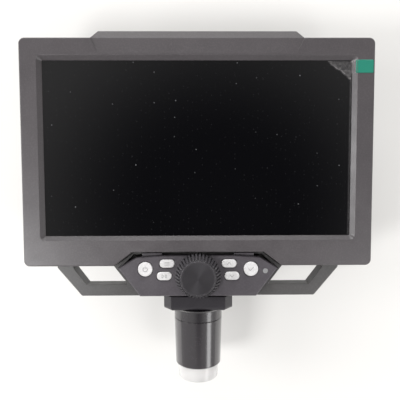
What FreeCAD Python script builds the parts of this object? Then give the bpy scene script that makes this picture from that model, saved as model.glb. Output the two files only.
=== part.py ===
import FreeCAD
import Part
import math
import os

# Head of a digital inspection microscope with a built-in screen.
# The screen faces -Y, +X is to the user's right and +Z is up, with the camera barrel pointing down.
# The origin is on the axis of the stand post's bore, level with the screen housing's lower edge.
# A depth is a distance back from the bezel's front face. All sizes are in millimetres.

# Clearances
FIT = 0.05
SLIP = 0.1
GAP = 0.2

# Screen housing
WINDOW_WIDTH = 199.6
WINDOW_HEIGHT = 113.2
SIDE_BORDER = 13.7
TOP_BORDER = 13.7
BOTTOM_BORDER = 19.6
BEVEL_WIDTH = 2.75
BEVEL_DEPTH = 3.0
BEVEL_CORNER = 3.0
CORNER_RADIUS = 3.75
EDGE_CHAMFER = 0.6
WALL = 2.4
BEZEL_DEPTH = 10.0
COVER_SIDE_DEPTH = 9.0
COVER_CHAMFER_DEPTH = 7.0
COVER_CHAMFER_INSET = 10.0
NOTCH_BOTTOM_HALF = 54.9
NOTCH_TOP_HALF = 43.1
NOTCH_HEIGHT = 9.0

# Raised crown along the housing's top edge, and the battery hump behind it
CROWN_BASE_HALF = 68.3
CROWN_TOP_HALF = 64.0
CROWN_HEIGHT = 5.4
CROWN_LEAN = 4.0
FACET_DEPTH = 1.0
FACET_HEIGHT = 9.8
FACET_BOTTOM_HALF = 63.4
HUMP_DEPTH = 8.0
HUMP_CHAMFER = 4.0
HUMP_DROP = 48.0
HUMP_SLOPE_WIDTH = 9.0
HUMP_SLOPE_HEIGHT = 11.0

# Screws between bezel and rear cover
CASE_SCREW_INSET = 5.3
CASE_SCREW_END = 8.0
CASE_SCREW_LOWER_STEP = 30.0
CASE_SCREW_UPPER_STEP = 30.5
BEZEL_BOSS_RADIUS = 2.5
COVER_BOSS_RADIUS = 3.2
CASE_SCREW_RADIUS = 1.2
CASE_HEAD_RADIUS = 2.2
CASE_HEAD_HEIGHT = 1.6
CASE_HEAD_DEPTH = 17.0
THREAD_BITE = 5.5

# Display module
GLASS_MARGIN = 3.2
GLASS_THICKNESS = 1.0
PANEL_MARGIN_X = 5.4
PANEL_MARGIN_Z = 6.4
PANEL_THICKNESS = 4.0
BACK_PLATE_THICKNESS = 0.9
FILM_THICKNESS = 0.15
FILM_MARGIN = 0.5
TAB_WIDTH = 11.4
TAB_HEIGHT = 8.4
TAB_INSET = 1.4
TAB_DROP = 0.2

# Main circuit board
BOARD_THICKNESS = 1.6
BOARD_WIDTH = 140.0
BOARD_HEIGHT = 66.0
BOARD_TRAY_GAP = 0.9
BOARD_STANDOFF = 3.0
STANDOFF_RADIUS = 2.6
STANDOFF_INSET = 5.0
BOARD_SCREW_RADIUS = 1.0
BOARD_HEAD_RADIUS = 2.0
BOARD_HEAD_HEIGHT = 1.3
CHIP_SIZE = 14.0
CHIP_THICKNESS = 1.4
USB_WIDTH = 9.0
USB_HEIGHT = 3.2
USB_LENGTH = 10.0
USB_RISE = 28.0
CARD_WIDTH = 14.0
CARD_HEIGHT = 2.0
CARD_LENGTH = 13.0
CARD_RISE = 46.0
SOCKET_SLOT = 0.5
USB_CORNER = 1.44
USB_MOUTH_LENGTH = 8.0
USB_TONGUE_THICKNESS = 0.64
CARD_SLOT_LENGTH = 11.0
SOCKET_WALL = 0.35

# Rechargeable cells in the hump
CELL_RADIUS = 9.1
CELL_LENGTH = 65.0
CELL_PITCH = 20.0
CELL_NECK_RADIUS = 3.0
CELL_NECK_HEIGHT = 1.0
TRAY_WALL = 2.4
TRAY_FLOOR = 2.6
TRAY_SIDE_HEIGHT = 9.0

# Cooling slots in the rear cover
VENT_COUNT = 9
VENT_PITCH = 5.0
VENT_WIDTH = 2.0
VENT_HEIGHT = 16.0
VENT_CENTRE = 58.0
VENT_LEVEL = 52.0

# Lower frame with its two open wings
FRAME_DEPTH = 8.0
FRAME_THICKNESS = 10.0
FRAME_TOP_HALF = 96.5
FRAME_BOTTOM_HALF = 78.4
FRAME_DROP = 21.9
WING_RAIL = 1.4
WING_BAR = 7.7
WING_INNER_TOP = 56.5
WING_INNER_BOTTOM = 46.9
WING_OUTER_TOP = 84.5
WING_OUTER_BOTTOM = 75.0
FRAME_FLOOR = 4.0
FRAME_CORNER = 1.8
BRIDGE_GAP = 0.35
POCKET_TOP = 6.4
POCKET_BOTTOM = 15.6
POCKET_TOP_HALF = 43.0
POCKET_SIDE_HALF = 50.5
POCKET_SIDE_LEVEL = -1.0
POCKET_BOTTOM_HALF = 41.0
CARRIAGE_GATE_HALF = 11.5

# Control panel
PANEL_DEPTH = 2.0
PANEL_SKIN = 2.0
PANEL_WALL = 1.5
PANEL_TOP = 6.5
PANEL_SHOULDER = 5.4
PANEL_TOP_HALF = 24.0
PANEL_SHOULDER_HALF = 40.6
PANEL_SIDE_HALF = 52.9
PANEL_SIDE_LEVEL = -2.0
PANEL_BOTTOM_HALF = 38.5
PANEL_BOTTOM = -20.7
PANEL_CHAMFER = 0.7
PANEL_BOSS_RADIUS = 2.3
PANEL_SCREW_RADIUS = 1.0
PANEL_HEAD_RADIUS = 1.9
PANEL_HEAD_HEIGHT = 1.3
PANEL_SCREWS = ((30.0, -18.2), (11.2, 3.2))
LUG_WIDTH = 13.0
LUG_PLACE = 30.4
LUG_HEIGHT = 1.3
LUG_LEVEL = 5.0
LUG_DEPTH = 4.0

# Buttons
ROUND_RADIUS = 4.75
PILL_WIDTH = 9.75
PILL_HEIGHT = 5.4
PILL_END_FLAT = 0.06
BUTTON_PROUD = 0.8
BUTTON_TRAVEL = 0.5
BUTTON_FLANGE = 0.7
BUTTON_FLANGE_THICKNESS = 0.9
BUTTON_STEM_RADIUS = 1.2
BUTTON_EDGE = 0.35
BUTTON_RIM = 0.6
ROUND_PLACE = (34.8, -2.5)
UPPER_PLACE = (20.4, 1.2)
LOWER_PLACE = (22.3, -7.1)
SWITCH_SIZE = 4.0
SWITCH_HEIGHT = 2.0
PLUNGER_RADIUS = 0.9
PLUNGER_HEIGHT = 0.8
BUTTON_BOARD_THICKNESS = 1.2
BUTTON_BOARD_INNER = 14.6
BUTTON_BOARD_MARGIN = 1.0
BUTTON_BOARD_SCREWS = ((28.6, -12.3), (39.6, -8.6))
BUTTON_POST_RADIUS = 1.9
LIGHT_PLACE = (44.4, -3.9)
LIGHT_RADIUS = 1.65
LIGHT_FLANGE = 0.6
LED_SIZE = 2.4
LED_HEIGHT = 1.0

# Stand post, neck and clamp
POST_RADIUS = 6.0
POST_CLEARANCE = 0.1
POST_DEPTH = 46.5
NECK_HALF = 23.35
NECK_DROP = 32.2
NECK_TOP = 48.0
NECK_BACK_WALL = 4.9
NECK_TOP_CHAMFER = 4.0
FOOT_DEPTH = 5.5
FOOT_FRONT_HALF = 18.2
FOOT_CHAMFER_DEPTH = 6.5
FOOT_ROUNDING = 3.0
NECK_EDGE = 2.0
NECK_SCREW_X = 16.0
NECK_SCREW_LOW = 26.0
NECK_SCREW_HIGH = 43.0
NECK_SCREW_RADIUS = 1.4
NECK_HEAD_RADIUS = 2.6
NECK_HEAD_HEIGHT = 1.8
NECK_SCREW_BITE = 7.0
FRAME_SCREW_X = 18.4
FRAME_SCREW_HIGH = -1.5
FRAME_SCREW_LOW = -9.0
FRAME_SCREW_BITE = 8.0
CORE_WALL = 3.0
CORE_BOSS_RADIUS = 3.4
CLAMP_HOUSING_RADIUS = 7.5
CLAMP_LEVEL = 31.0
PAD_RADIUS = 3.5
PAD_FLAT = 3.0
PAD_LENGTH = 8.5
PAD_THREAD_LENGTH = 6.8
SCREW_TIP_GAP = 0.4
PAD_RETREAT = 0.9
CLAMP_SCREW_RADIUS = 2.0
CLAMP_FLANGE_RADIUS = 5.0
CLAMP_FLANGE_THICKNESS = 1.6
CLAMP_RING_THICKNESS = 1.2
CLAMP_KNOB_RADIUS = 9.0
CLAMP_KNOB_THICKNESS = 11.0
CLAMP_KNOB_GAP = 0.8
CLAMP_LOBES = 8
CLAMP_LOBE_RADIUS = 2.2

# Camera barrel
BARREL_DEPTH = 22.0
CAVITY_RADIUS = 11.0
CAVITY_TOP = -11.0
COLLAR_RADIUS = 17.6
BARREL_TOP_RADIUS = 16.7
BARREL_RIM_RADIUS = 15.85
SEAM_LEVEL = -40.2
RIM_LEVEL = -72.7
TIP_LEVEL = -82.8
SLEEVE_BORE = 14.6
SLEEVE_WAIST = 12.9
SPIGOT_LENGTH = 5.0
TIP_RADIUS = 14.35
TIP_WALL = 1.6
TIP_HOLE = 9.0
TIP_INSERT = 6.7
LED_BOARD_HOLE = 8.9
RING_BOARD_THICKNESS = 1.6
RING_LED_COUNT = 8
RING_LED_PITCH_RADIUS = 10.8
RING_LED_RADIUS = 1.4
RING_LED_HEIGHT = 1.7
BUSH_OUTER = 10.5
BUSH_TOP = -29.8
BUSH_BOTTOM = -47.0

# Sliding camera carriage
CARRIAGE_RADIUS = 8.0
CARRIAGE_BORE = 6.5
CARRIAGE_WAIST = 5.6
CARRIAGE_TOP = -20.5
CARRIAGE_BOTTOM = -62.0
LENS_RADIUS = 6.4
LENS_DOME_RADIUS = 4.8
LENS_BULGE = 0.5
FRONT_LENS_THICKNESS = 3.0
REAR_LENS_THICKNESS = 2.4
REAR_LENS_LEVEL = -34.0
RETAINER_HEIGHT = 1.2
RETAINER_BORE = 5.0
SENSOR_BOARD_SIZE = 14.0
SENSOR_BOARD_THICKNESS = 1.2
SENSOR_WIDTH = 8.0
SENSOR_HEIGHT = 6.4
SENSOR_THICKNESS = 1.2
ARM_HEIGHT = 4.0

# Focus drive
KNOB_LEVEL = -7.2
GEAR_MODULE = 0.5
PINION_TEETH = 12
PRESSURE_ANGLE = 25.0
TOOTH_CLEARANCE = 0.07
PINION_DEPTH = 9.6
PINION_WIDTH = 3.2
RACK_THICKNESS = 2.9
RACK_BACKING = 2.8
RACK_ABOVE = 8.2
SHAFT_RADIUS = 2.0
BUSH_RADIUS = 4.0
BUSH_FLANGE_RADIUS = 5.5
BUSH_FLANGE_THICKNESS = 1.0
BUSH_LENGTH = 4.6
CLIP_RADIUS = 3.8
CLIP_THICKNESS = 0.6
KNOB_BASE_RADIUS = 15.2
KNOB_FRONT_RADIUS = 12.4
KNOB_HEIGHT = 9.0
KNOB_RIDGES = 38
GROOVE_BASE_DEPTH = 1.5
GROOVE_FRONT_DEPTH = 0.8
RIDGE_SHARE = 0.46
KNOB_RIM_RADIUS = 11.2
KNOB_FACE_RADIUS = 10.3
KNOB_FACE_THICKNESS = 1.0
KNOB_DISH = 0.35
KNOB_WALL = 2.6
KNOB_HUB_RADIUS = 4.2
KNOB_HOLLOW = 5.4

# Derived places
HOUSING_HALF = WINDOW_WIDTH / 2 + SIDE_BORDER
HOUSING_TOP = BOTTOM_BORDER + WINDOW_HEIGHT + TOP_BORDER
WINDOW_TOP = BOTTOM_BORDER + WINDOW_HEIGHT
CASE_SCREW_TOP = HOUSING_TOP - CASE_SCREW_END
CASE_SCREW_LEVELS = (CASE_SCREW_END, CASE_SCREW_END + CASE_SCREW_LOWER_STEP,
                     CASE_SCREW_TOP - CASE_SCREW_UPPER_STEP, CASE_SCREW_TOP)
UPPER_CELL_LEVEL = HOUSING_TOP - WALL - GAP - TRAY_WALL - CELL_RADIUS
TRAY_BOTTOM = UPPER_CELL_LEVEL - CELL_PITCH - CELL_RADIUS - TRAY_WALL
BOARD_LEVEL = TRAY_BOTTOM - BOARD_TRAY_GAP - BOARD_HEIGHT
USB_LEVEL = BOARD_LEVEL + USB_RISE
CARD_LEVEL = BOARD_LEVEL + CARD_RISE
COVER_BEND_DEPTH = BEZEL_DEPTH + COVER_SIDE_DEPTH
COVER_BACK = COVER_BEND_DEPTH + COVER_CHAMFER_DEPTH
HUMP_BACK = COVER_BACK + HUMP_DEPTH
GLASS_BACK = BEVEL_DEPTH + GLASS_THICKNESS
PANEL_BACK = GLASS_BACK + SLIP + PANEL_THICKNESS
PLATE_BACK = PANEL_BACK + BACK_PLATE_THICKNESS
BOARD_FRONT = PLATE_BACK + BOARD_STANDOFF
BOARD_BACK = BOARD_FRONT + BOARD_THICKNESS
BOARD_RIGHT = HOUSING_HALF - CASE_SCREW_INSET - COVER_BOSS_RADIUS - 2 * GAP
FRAME_BACK = FRAME_DEPTH + FRAME_THICKNESS
POCKET_BACK = FRAME_BACK - FRAME_FLOOR
NECK_BACK = POST_DEPTH + POST_RADIUS + POST_CLEARANCE + NECK_BACK_WALL
SKIN_BACK = PANEL_DEPTH + PANEL_SKIN
FLANGE_BACK = SKIN_BACK + FIT + BUTTON_FLANGE_THICKNESS
STEM_BACK = FLANGE_BACK + BUTTON_TRAVEL
PLUNGER_FRONT = STEM_BACK + BUTTON_TRAVEL + SLIP
BUTTON_BOARD_FRONT = PLUNGER_FRONT + PLUNGER_HEIGHT + SWITCH_HEIGHT
BUTTON_BOARD_BACK = BUTTON_BOARD_FRONT + BUTTON_BOARD_THICKNESS
PITCH_RADIUS = GEAR_MODULE * PINION_TEETH / 2
LED_BOARD_TOP = RIM_LEVEL + TIP_INSERT + RING_BOARD_THICKNESS
CLAMP_FLANGE_SEAT = NECK_HALF - CLAMP_RING_THICKNESS - CLAMP_FLANGE_THICKNESS - 2 * FIT


def point(x, depth, z):
    return FreeCAD.Vector(x, depth - POST_DEPTH, z)


def block(x0, x1, front, back, z0, z1):
    return Part.makeBox(x1 - x0, back - front, z1 - z0, point(x0, front, z0))


def pin(x, z, radius, front, back):
    return Part.makeCylinder(radius, back - front, point(x, front, z), FreeCAD.Vector(0, 1, 0))


def upright(radius, bottom, top, depth=BARREL_DEPTH, x=0.0):
    return Part.makeCylinder(radius, top - bottom, point(x, depth, bottom))


def cross(radius, x0, x1, depth, z):
    return Part.makeCylinder(radius, x1 - x0, point(x0, depth, z), FreeCAD.Vector(1, 0, 0))


def fuse(shapes):
    shapes = list(shapes)
    return shapes[0].multiFuse(shapes[1:]).removeSplitter()


def cut(shape, tools):
    return shape.cut(Part.makeCompound(list(tools)))


# An outline is a list of (x, z) corners, going round once.
def mirrored(right_side):
    return right_side + [(-x, z) for x, z in reversed(right_side)]


def inset(outline, distance):
    """The same outline moved inwards by a distance."""
    sides = list(zip(outline, outline[1:] + outline[:1]))
    turning = sum(a[0] * b[1] - b[0] * a[1] for a, b in sides)
    inward = math.copysign(1.0, turning)
    lines = []
    for (x0, z0), (x1, z1) in sides:
        length = math.hypot(x1 - x0, z1 - z0)
        normal_x = -(z1 - z0) / length * inward
        normal_z = (x1 - x0) / length * inward
        lines.append((normal_x, normal_z, normal_x * x0 + normal_z * z0 + distance))
    corners = []
    for (a, b, c), (d, e, f) in zip(lines[-1:] + lines[:-1], lines):
        spread = a * e - b * d
        corners.append(((c * e - b * f) / spread, (a * f - c * d) / spread))
    return corners


def wire(outline, depth, radii=None):
    """A closed wire at one depth, with each corner rounded where its radius isn't zero."""
    corners = [point(x, depth, z) for x, z in outline]
    radii = radii or [0.0] * len(corners)
    starts, ends, arcs = [], [], []
    for i, corner in enumerate(corners):
        before = (corners[i - 1] - corner).normalize()
        after = (corners[(i + 1) % len(corners)] - corner).normalize()
        half = before.getAngle(after) / 2
        reach = radii[i] / math.tan(half)
        starts.append(corner + before * reach)
        ends.append(corner + after * reach)
        middle = corner + (before + after).normalize() * (radii[i] / math.sin(half) - radii[i])
        arcs.append(middle)
    edges = []
    for i, radius in enumerate(radii):
        if radius:
            edges.append(Part.Arc(starts[i], arcs[i], ends[i]).toShape())
        edges.append(Part.makeLine(ends[i], starts[(i + 1) % len(radii)]))
    return Part.Wire(edges)


def plate(outline, front, back, radii=None):
    return Part.Face(wire(outline, front, radii)).extrude(FreeCAD.Vector(0, back - front, 0))


def taper(front_outline, front, back_outline, back, front_radii=None, back_radii=None):
    sections = [wire(front_outline, front, front_radii), wire(back_outline, back, back_radii)]
    return Part.makeLoft(sections, True, True)


def side_plate(outline, x0, x1):
    """A plate whose outline is a list of (depth, z) corners."""
    corners = [point(x0, depth, z) for depth, z in outline]
    face = Part.Face(Part.makePolygon(corners + corners[:1]))
    return face.extrude(FreeCAD.Vector(x1 - x0, 0, 0))


def turned(profile, depth=BARREL_DEPTH):
    """A solid turned about an upright axis from (radius, z) corners."""
    corners = [point(radius, depth, z) for radius, z in profile]
    face = Part.Face(Part.makePolygon(corners + corners[:1]))
    return face.revolve(point(0, depth, 0), FreeCAD.Vector(0, 0, 1), 360)


def lens(bottom, thickness):
    """A disc with a flat rim and a domed lower and upper face."""
    top = bottom + thickness
    ball = (LENS_DOME_RADIUS ** 2 + LENS_BULGE ** 2) / (2 * LENS_BULGE)
    column = upright(LENS_DOME_RADIUS, bottom - LENS_BULGE, top + LENS_BULGE)
    low = Part.makeSphere(ball, point(0, BARREL_DEPTH, bottom - LENS_BULGE + ball)).common(column)
    high = Part.makeSphere(ball, point(0, BARREL_DEPTH, top + LENS_BULGE - ball)).common(column)
    return fuse([upright(LENS_RADIUS, bottom, top), low.common(high)])


def housing_outline():
    return mirrored([(NOTCH_TOP_HALF, NOTCH_HEIGHT), (NOTCH_BOTTOM_HALF, 0.0),
                     (HOUSING_HALF, 0.0), (HOUSING_HALF, HOUSING_TOP)])


def housing_radii(inwards=0.0):
    corner = max(CORNER_RADIUS - inwards, EDGE_CHAMFER)
    right = [0.0, 0.0, corner, corner]
    return right + right[::-1]


def hump_outline():
    foot = HOUSING_TOP - HUMP_DROP
    return mirrored([(CROWN_BASE_HALF - HUMP_SLOPE_WIDTH, foot),
                     (CROWN_BASE_HALF, foot + HUMP_SLOPE_HEIGHT),
                     (CROWN_BASE_HALF, HOUSING_TOP),
                     (CROWN_TOP_HALF, HOUSING_TOP + CROWN_HEIGHT)])


def case_screw_places():
    return [(side * (HOUSING_HALF - CASE_SCREW_INSET), z) for side in (-1, 1) for z in CASE_SCREW_LEVELS]


def window_cut():
    half = WINDOW_WIDTH / 2
    opening = [(half, BOTTOM_BORDER), (half, WINDOW_TOP), (-half, WINDOW_TOP), (-half, BOTTOM_BORDER)]
    sharp = EDGE_CHAMFER
    return taper(inset(opening, -BEVEL_WIDTH), 0.0, opening, BEVEL_DEPTH, [BEVEL_CORNER] * 4, [sharp] * 4)


def crown():
    def section(half, front, z):
        corners = [point(x, depth, z) for x, depth in
                   ((-half, front), (half, front), (half, BEZEL_DEPTH), (-half, BEZEL_DEPTH))]
        return Part.makePolygon(corners + corners[:1])
    base = section(CROWN_BASE_HALF, FACET_DEPTH, HOUSING_TOP)
    top = section(CROWN_TOP_HALF, FACET_DEPTH + CROWN_LEAN, HOUSING_TOP + CROWN_HEIGHT)
    return Part.makeLoft([base, top], True, True)


def facet_cut():
    foot = HOUSING_TOP - FACET_HEIGHT
    region = plate(mirrored([(FACET_BOTTOM_HALF, foot), (CROWN_BASE_HALF, HOUSING_TOP)]),
                   -FACET_DEPTH, FACET_DEPTH)
    slope = side_plate([(-FACET_DEPTH, foot), (0.0, foot), (FACET_DEPTH, HOUSING_TOP),
                        (-FACET_DEPTH, HOUSING_TOP)], -CROWN_BASE_HALF, CROWN_BASE_HALF)
    return slope.common(region)


def front_bezel():
    outline = housing_outline()
    body = fuse([taper(inset(outline, EDGE_CHAMFER), 0.0, outline, EDGE_CHAMFER,
                       housing_radii(EDGE_CHAMFER), housing_radii()),
                 plate(outline, EDGE_CHAMFER, BEZEL_DEPTH, housing_radii()), crown()])
    pocket = plate(inset(outline, WALL), BEVEL_DEPTH, BEZEL_DEPTH, housing_radii(WALL))
    crown_pocket = block(-CROWN_TOP_HALF + WALL, CROWN_TOP_HALF - WALL,
                         FACET_DEPTH + CROWN_LEAN, BEZEL_DEPTH,
                         HOUSING_TOP - 2 * WALL, HOUSING_TOP + CROWN_HEIGHT - WALL)
    body = cut(body, [pocket, crown_pocket, window_cut(), facet_cut()])
    bosses = [pin(x, z, BEZEL_BOSS_RADIUS, BEVEL_DEPTH, BEZEL_DEPTH) for x, z in case_screw_places()]
    holes = [pin(x, z, CASE_SCREW_RADIUS, BEZEL_DEPTH - THREAD_BITE - SLIP, BEZEL_DEPTH)
             for x, z in case_screw_places()]
    return cut(fuse([body] + bosses), holes)


def socket_slots():
    slots = []
    for level, width, height in ((USB_LEVEL, USB_WIDTH, USB_HEIGHT), (CARD_LEVEL, CARD_WIDTH, CARD_HEIGHT)):
        slots.append(block(HOUSING_HALF - 2 * WALL, HOUSING_HALF + WALL,
                           BOARD_BACK - SOCKET_SLOT, BOARD_BACK + height + SOCKET_SLOT,
                           level - width / 2 - SOCKET_SLOT, level + width / 2 + SOCKET_SLOT))
    return slots


def vent_slots():
    slots = []
    for side in (-1, 1):
        for i in range(VENT_COUNT):
            x = side * VENT_CENTRE + (i - (VENT_COUNT - 1) / 2) * VENT_PITCH
            slots.append(block(x - VENT_WIDTH / 2, x + VENT_WIDTH / 2, COVER_BACK - 2 * WALL, COVER_BACK + WALL,
                               VENT_LEVEL - VENT_HEIGHT / 2, VENT_LEVEL + VENT_HEIGHT / 2))
    return slots


def rear_cover():
    outline = housing_outline()
    back = inset(outline, COVER_CHAMFER_INSET)
    inner = inset(outline, WALL)
    inner_back = inset(outline, COVER_CHAMFER_INSET + WALL)
    shell = fuse([plate(outline, BEZEL_DEPTH, COVER_BEND_DEPTH, housing_radii()),
                  taper(outline, COVER_BEND_DEPTH, back, COVER_BACK, housing_radii(), housing_radii())])
    hump = hump_outline()
    ridge = HUMP_BACK - HUMP_CHAMFER
    outer = fuse([shell, plate(hump, BEZEL_DEPTH, ridge), taper(hump, ridge, inset(hump, HUMP_CHAMFER), HUMP_BACK)])
    skew = WALL * (math.sqrt(2.0) - 1.0)
    hollow = fuse([plate(inner, BEZEL_DEPTH, COVER_BEND_DEPTH, housing_radii(WALL)),
                   taper(inner, COVER_BEND_DEPTH, inner_back, COVER_BACK - WALL,
                         housing_radii(WALL), housing_radii(WALL)),
                   plate(inset(hump, WALL), BEZEL_DEPTH, ridge - skew),
                   taper(inset(hump, WALL), ridge - skew, inset(hump, HUMP_CHAMFER + skew), HUMP_BACK - WALL)])
    bosses = [pin(x, z, COVER_BOSS_RADIUS, BEZEL_DEPTH, COVER_BACK).common(outer)
              for x, z in case_screw_places()]
    shafts = [pin(x, z, CASE_SCREW_RADIUS + SLIP, BEZEL_DEPTH, COVER_BACK) for x, z in case_screw_places()]
    sinks = [pin(x, z, CASE_HEAD_RADIUS + GAP, CASE_HEAD_DEPTH, COVER_BACK) for x, z in case_screw_places()]
    neck_holes = [pin(x, z, NECK_SCREW_RADIUS + SLIP, COVER_BACK - 2 * WALL, COVER_BACK)
                  for x, z in neck_screw_places()]
    body = fuse([outer.cut(hollow)] + bosses)
    return cut(body, shafts + sinks + neck_holes + socket_slots() + vent_slots())


def screw(x, z, radius, head_radius, head_height, seat, tip):
    """A screw whose head lies behind its seat and whose point is in front, or the other way round."""
    direction = math.copysign(1.0, seat - tip)
    head_end = seat + direction * head_height
    return fuse([pin(x, z, radius, min(seat, tip), max(seat, tip)),
                 pin(x, z, head_radius, min(seat, head_end), max(seat, head_end))])


def case_screws():
    return [screw(x, z, CASE_SCREW_RADIUS - FIT, CASE_HEAD_RADIUS, CASE_HEAD_HEIGHT, CASE_HEAD_DEPTH,
                  BEZEL_DEPTH - THREAD_BITE) for x, z in case_screw_places()]


def window_rectangle(margin_x, margin_z):
    half = WINDOW_WIDTH / 2 + margin_x
    return -half, half, BOTTOM_BORDER - margin_z, WINDOW_TOP + margin_z


def window_plate(margin_x, margin_z, front, back):
    x0, x1, z0, z1 = window_rectangle(margin_x, margin_z)
    return block(x0, x1, front, back, z0, z1)


def screen_glass():
    return window_plate(GLASS_MARGIN, GLASS_MARGIN, BEVEL_DEPTH, GLASS_BACK)


def lcd_panel():
    return window_plate(PANEL_MARGIN_X, PANEL_MARGIN_Z, GLASS_BACK + SLIP, PANEL_BACK)


def protective_film():
    return window_plate(-FILM_MARGIN, -FILM_MARGIN, BEVEL_DEPTH - FILM_THICKNESS, BEVEL_DEPTH)


def film_tab():
    left = WINDOW_WIDTH / 2 + TAB_INSET
    top = WINDOW_TOP - TAB_DROP
    return block(left, left + TAB_WIDTH, -FILM_THICKNESS, 0.0, top - TAB_HEIGHT, top)


def board_screw_places():
    xs = (BOARD_RIGHT - BOARD_WIDTH + STANDOFF_INSET, BOARD_RIGHT - STANDOFF_INSET)
    zs = (BOARD_LEVEL + STANDOFF_INSET, BOARD_LEVEL + BOARD_HEIGHT - STANDOFF_INSET)
    return [(x, z) for x in xs for z in zs]


def lcd_back_plate():
    body = window_plate(PANEL_MARGIN_X, PANEL_MARGIN_Z, PANEL_BACK, PLATE_BACK)
    standoffs = [pin(x, z, STANDOFF_RADIUS, PANEL_BACK, BOARD_FRONT) for x, z in board_screw_places()]
    holes = [pin(x, z, BOARD_SCREW_RADIUS, PLATE_BACK, BOARD_FRONT) for x, z in board_screw_places()]
    return cut(fuse([body] + standoffs), holes)


def main_board():
    body = block(BOARD_RIGHT - BOARD_WIDTH, BOARD_RIGHT, BOARD_FRONT, BOARD_BACK,
                 BOARD_LEVEL, BOARD_LEVEL + BOARD_HEIGHT)
    return cut(body, [pin(x, z, BOARD_SCREW_RADIUS + SLIP, BOARD_FRONT, BOARD_BACK)
                      for x, z in board_screw_places()])


def board_screws():
    return [screw(x, z, BOARD_SCREW_RADIUS - FIT, BOARD_HEAD_RADIUS, BOARD_HEAD_HEIGHT, BOARD_BACK,
                  PLATE_BACK + SLIP) for x, z in board_screw_places()]


def processor_chip():
    x = BOARD_RIGHT - BOARD_WIDTH / 2
    z = BOARD_LEVEL + BOARD_HEIGHT / 2
    return block(x - CHIP_SIZE / 2, x + CHIP_SIZE / 2, BOARD_BACK, BOARD_BACK + CHIP_THICKNESS,
                 z - CHIP_SIZE / 2, z + CHIP_SIZE / 2)


def usb_socket():
    mouth = HOUSING_HALF - EDGE_CHAMFER
    half = USB_WIDTH / 2
    middle = BOARD_BACK + USB_HEIGHT / 2
    body = block(mouth - USB_LENGTH, mouth, BOARD_BACK, BOARD_BACK + USB_HEIGHT, USB_LEVEL - half, USB_LEVEL + half)
    body = body.makeFillet(USB_CORNER, [edge for edge in body.Edges if abs(edge.tangentAt(0).x) > 0.9])
    mouth_cut = block(mouth - USB_MOUTH_LENGTH, mouth, BOARD_BACK + SOCKET_WALL,
                      BOARD_BACK + USB_HEIGHT - SOCKET_WALL,
                      USB_LEVEL - half + 3 * SOCKET_WALL, USB_LEVEL + half - 3 * SOCKET_WALL)
    tongue = block(mouth - USB_LENGTH, mouth - USB_LENGTH / 5, middle - USB_TONGUE_THICKNESS / 2,
                   middle + USB_TONGUE_THICKNESS / 2, USB_LEVEL - USB_WIDTH / 3, USB_LEVEL + USB_WIDTH / 3)
    return fuse([body.cut(mouth_cut), tongue])


def card_socket():
    mouth = HOUSING_HALF - WALL + SLIP
    half = CARD_WIDTH / 2
    body = block(mouth - CARD_LENGTH, mouth, BOARD_BACK, BOARD_BACK + CARD_HEIGHT, CARD_LEVEL - half, CARD_LEVEL + half)
    slot = block(mouth - CARD_SLOT_LENGTH, mouth, BOARD_BACK + SOCKET_WALL, BOARD_BACK + CARD_HEIGHT - SOCKET_WALL,
                 CARD_LEVEL - half + 2 * SOCKET_WALL, CARD_LEVEL + half - 2 * SOCKET_WALL)
    return body.cut(slot)


def cell_places():
    """Depth and level of each cell's axis."""
    depth = PLATE_BACK + TRAY_FLOOR + CELL_RADIUS
    return [(depth, UPPER_CELL_LEVEL - i * CELL_PITCH) for i in range(2)]


def battery_cells():
    cells = []
    for depth, z in cell_places():
        half = CELL_LENGTH / 2
        cells.append(fuse([cross(CELL_RADIUS, -half, half - CELL_NECK_HEIGHT, depth, z),
                           cross(CELL_NECK_RADIUS, half - CELL_NECK_HEIGHT, half, depth, z)]))
    return cells


def battery_tray():
    (depth, top), (_, low) = cell_places()
    half = CELL_LENGTH / 2 + GAP
    body = block(-half - TRAY_WALL, half + TRAY_WALL, PLATE_BACK, PLATE_BACK + TRAY_FLOOR + TRAY_SIDE_HEIGHT,
                 TRAY_BOTTOM, top + CELL_RADIUS + TRAY_WALL)
    rooms = [cross(CELL_RADIUS + SLIP, -half, half, depth, z) for z in (low, top)]
    rooms += [block(-half, half, depth, depth + CELL_RADIUS, z - CELL_RADIUS - SLIP, z + CELL_RADIUS + SLIP)
              for z in (low, top)]
    return cut(body, rooms)


def frame_outline():
    top = -GAP
    bridge = NOTCH_HEIGHT - BRIDGE_GAP
    lean = (NOTCH_BOTTOM_HALF - NOTCH_TOP_HALF) / NOTCH_HEIGHT
    slack = BRIDGE_GAP * math.hypot(1.0, lean)
    return mirrored([(FRAME_BOTTOM_HALF, -FRAME_DROP), (FRAME_TOP_HALF, top),
                     (NOTCH_BOTTOM_HALF - slack - lean * top, top),
                     (NOTCH_TOP_HALF - slack + lean * BRIDGE_GAP, bridge)])


def wing_opening(side):
    bottom = -FRAME_DROP + WING_BAR
    top = -GAP - WING_RAIL
    return [(side * WING_INNER_TOP, top), (side * WING_OUTER_TOP, top),
            (side * WING_OUTER_BOTTOM, bottom), (side * WING_INNER_BOTTOM, bottom)]


def pocket_outline(margin=0.0):
    return inset(mirrored([(POCKET_BOTTOM_HALF, -POCKET_BOTTOM), (POCKET_SIDE_HALF, POCKET_SIDE_LEVEL),
                           (POCKET_TOP_HALF, POCKET_TOP)]), margin)


def panel_screw_places():
    return [(side * x, z) for side in (-1, 1) for x, z in PANEL_SCREWS]


def board_post_places(side):
    return [(side * x, z) for x, z in BUTTON_BOARD_SCREWS]


def frame_screw_places():
    return [(side * FRAME_SCREW_X, z) for side in (-1, 1)
            for z in (FRAME_SCREW_HIGH, FRAME_SCREW_LOW)]


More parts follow.
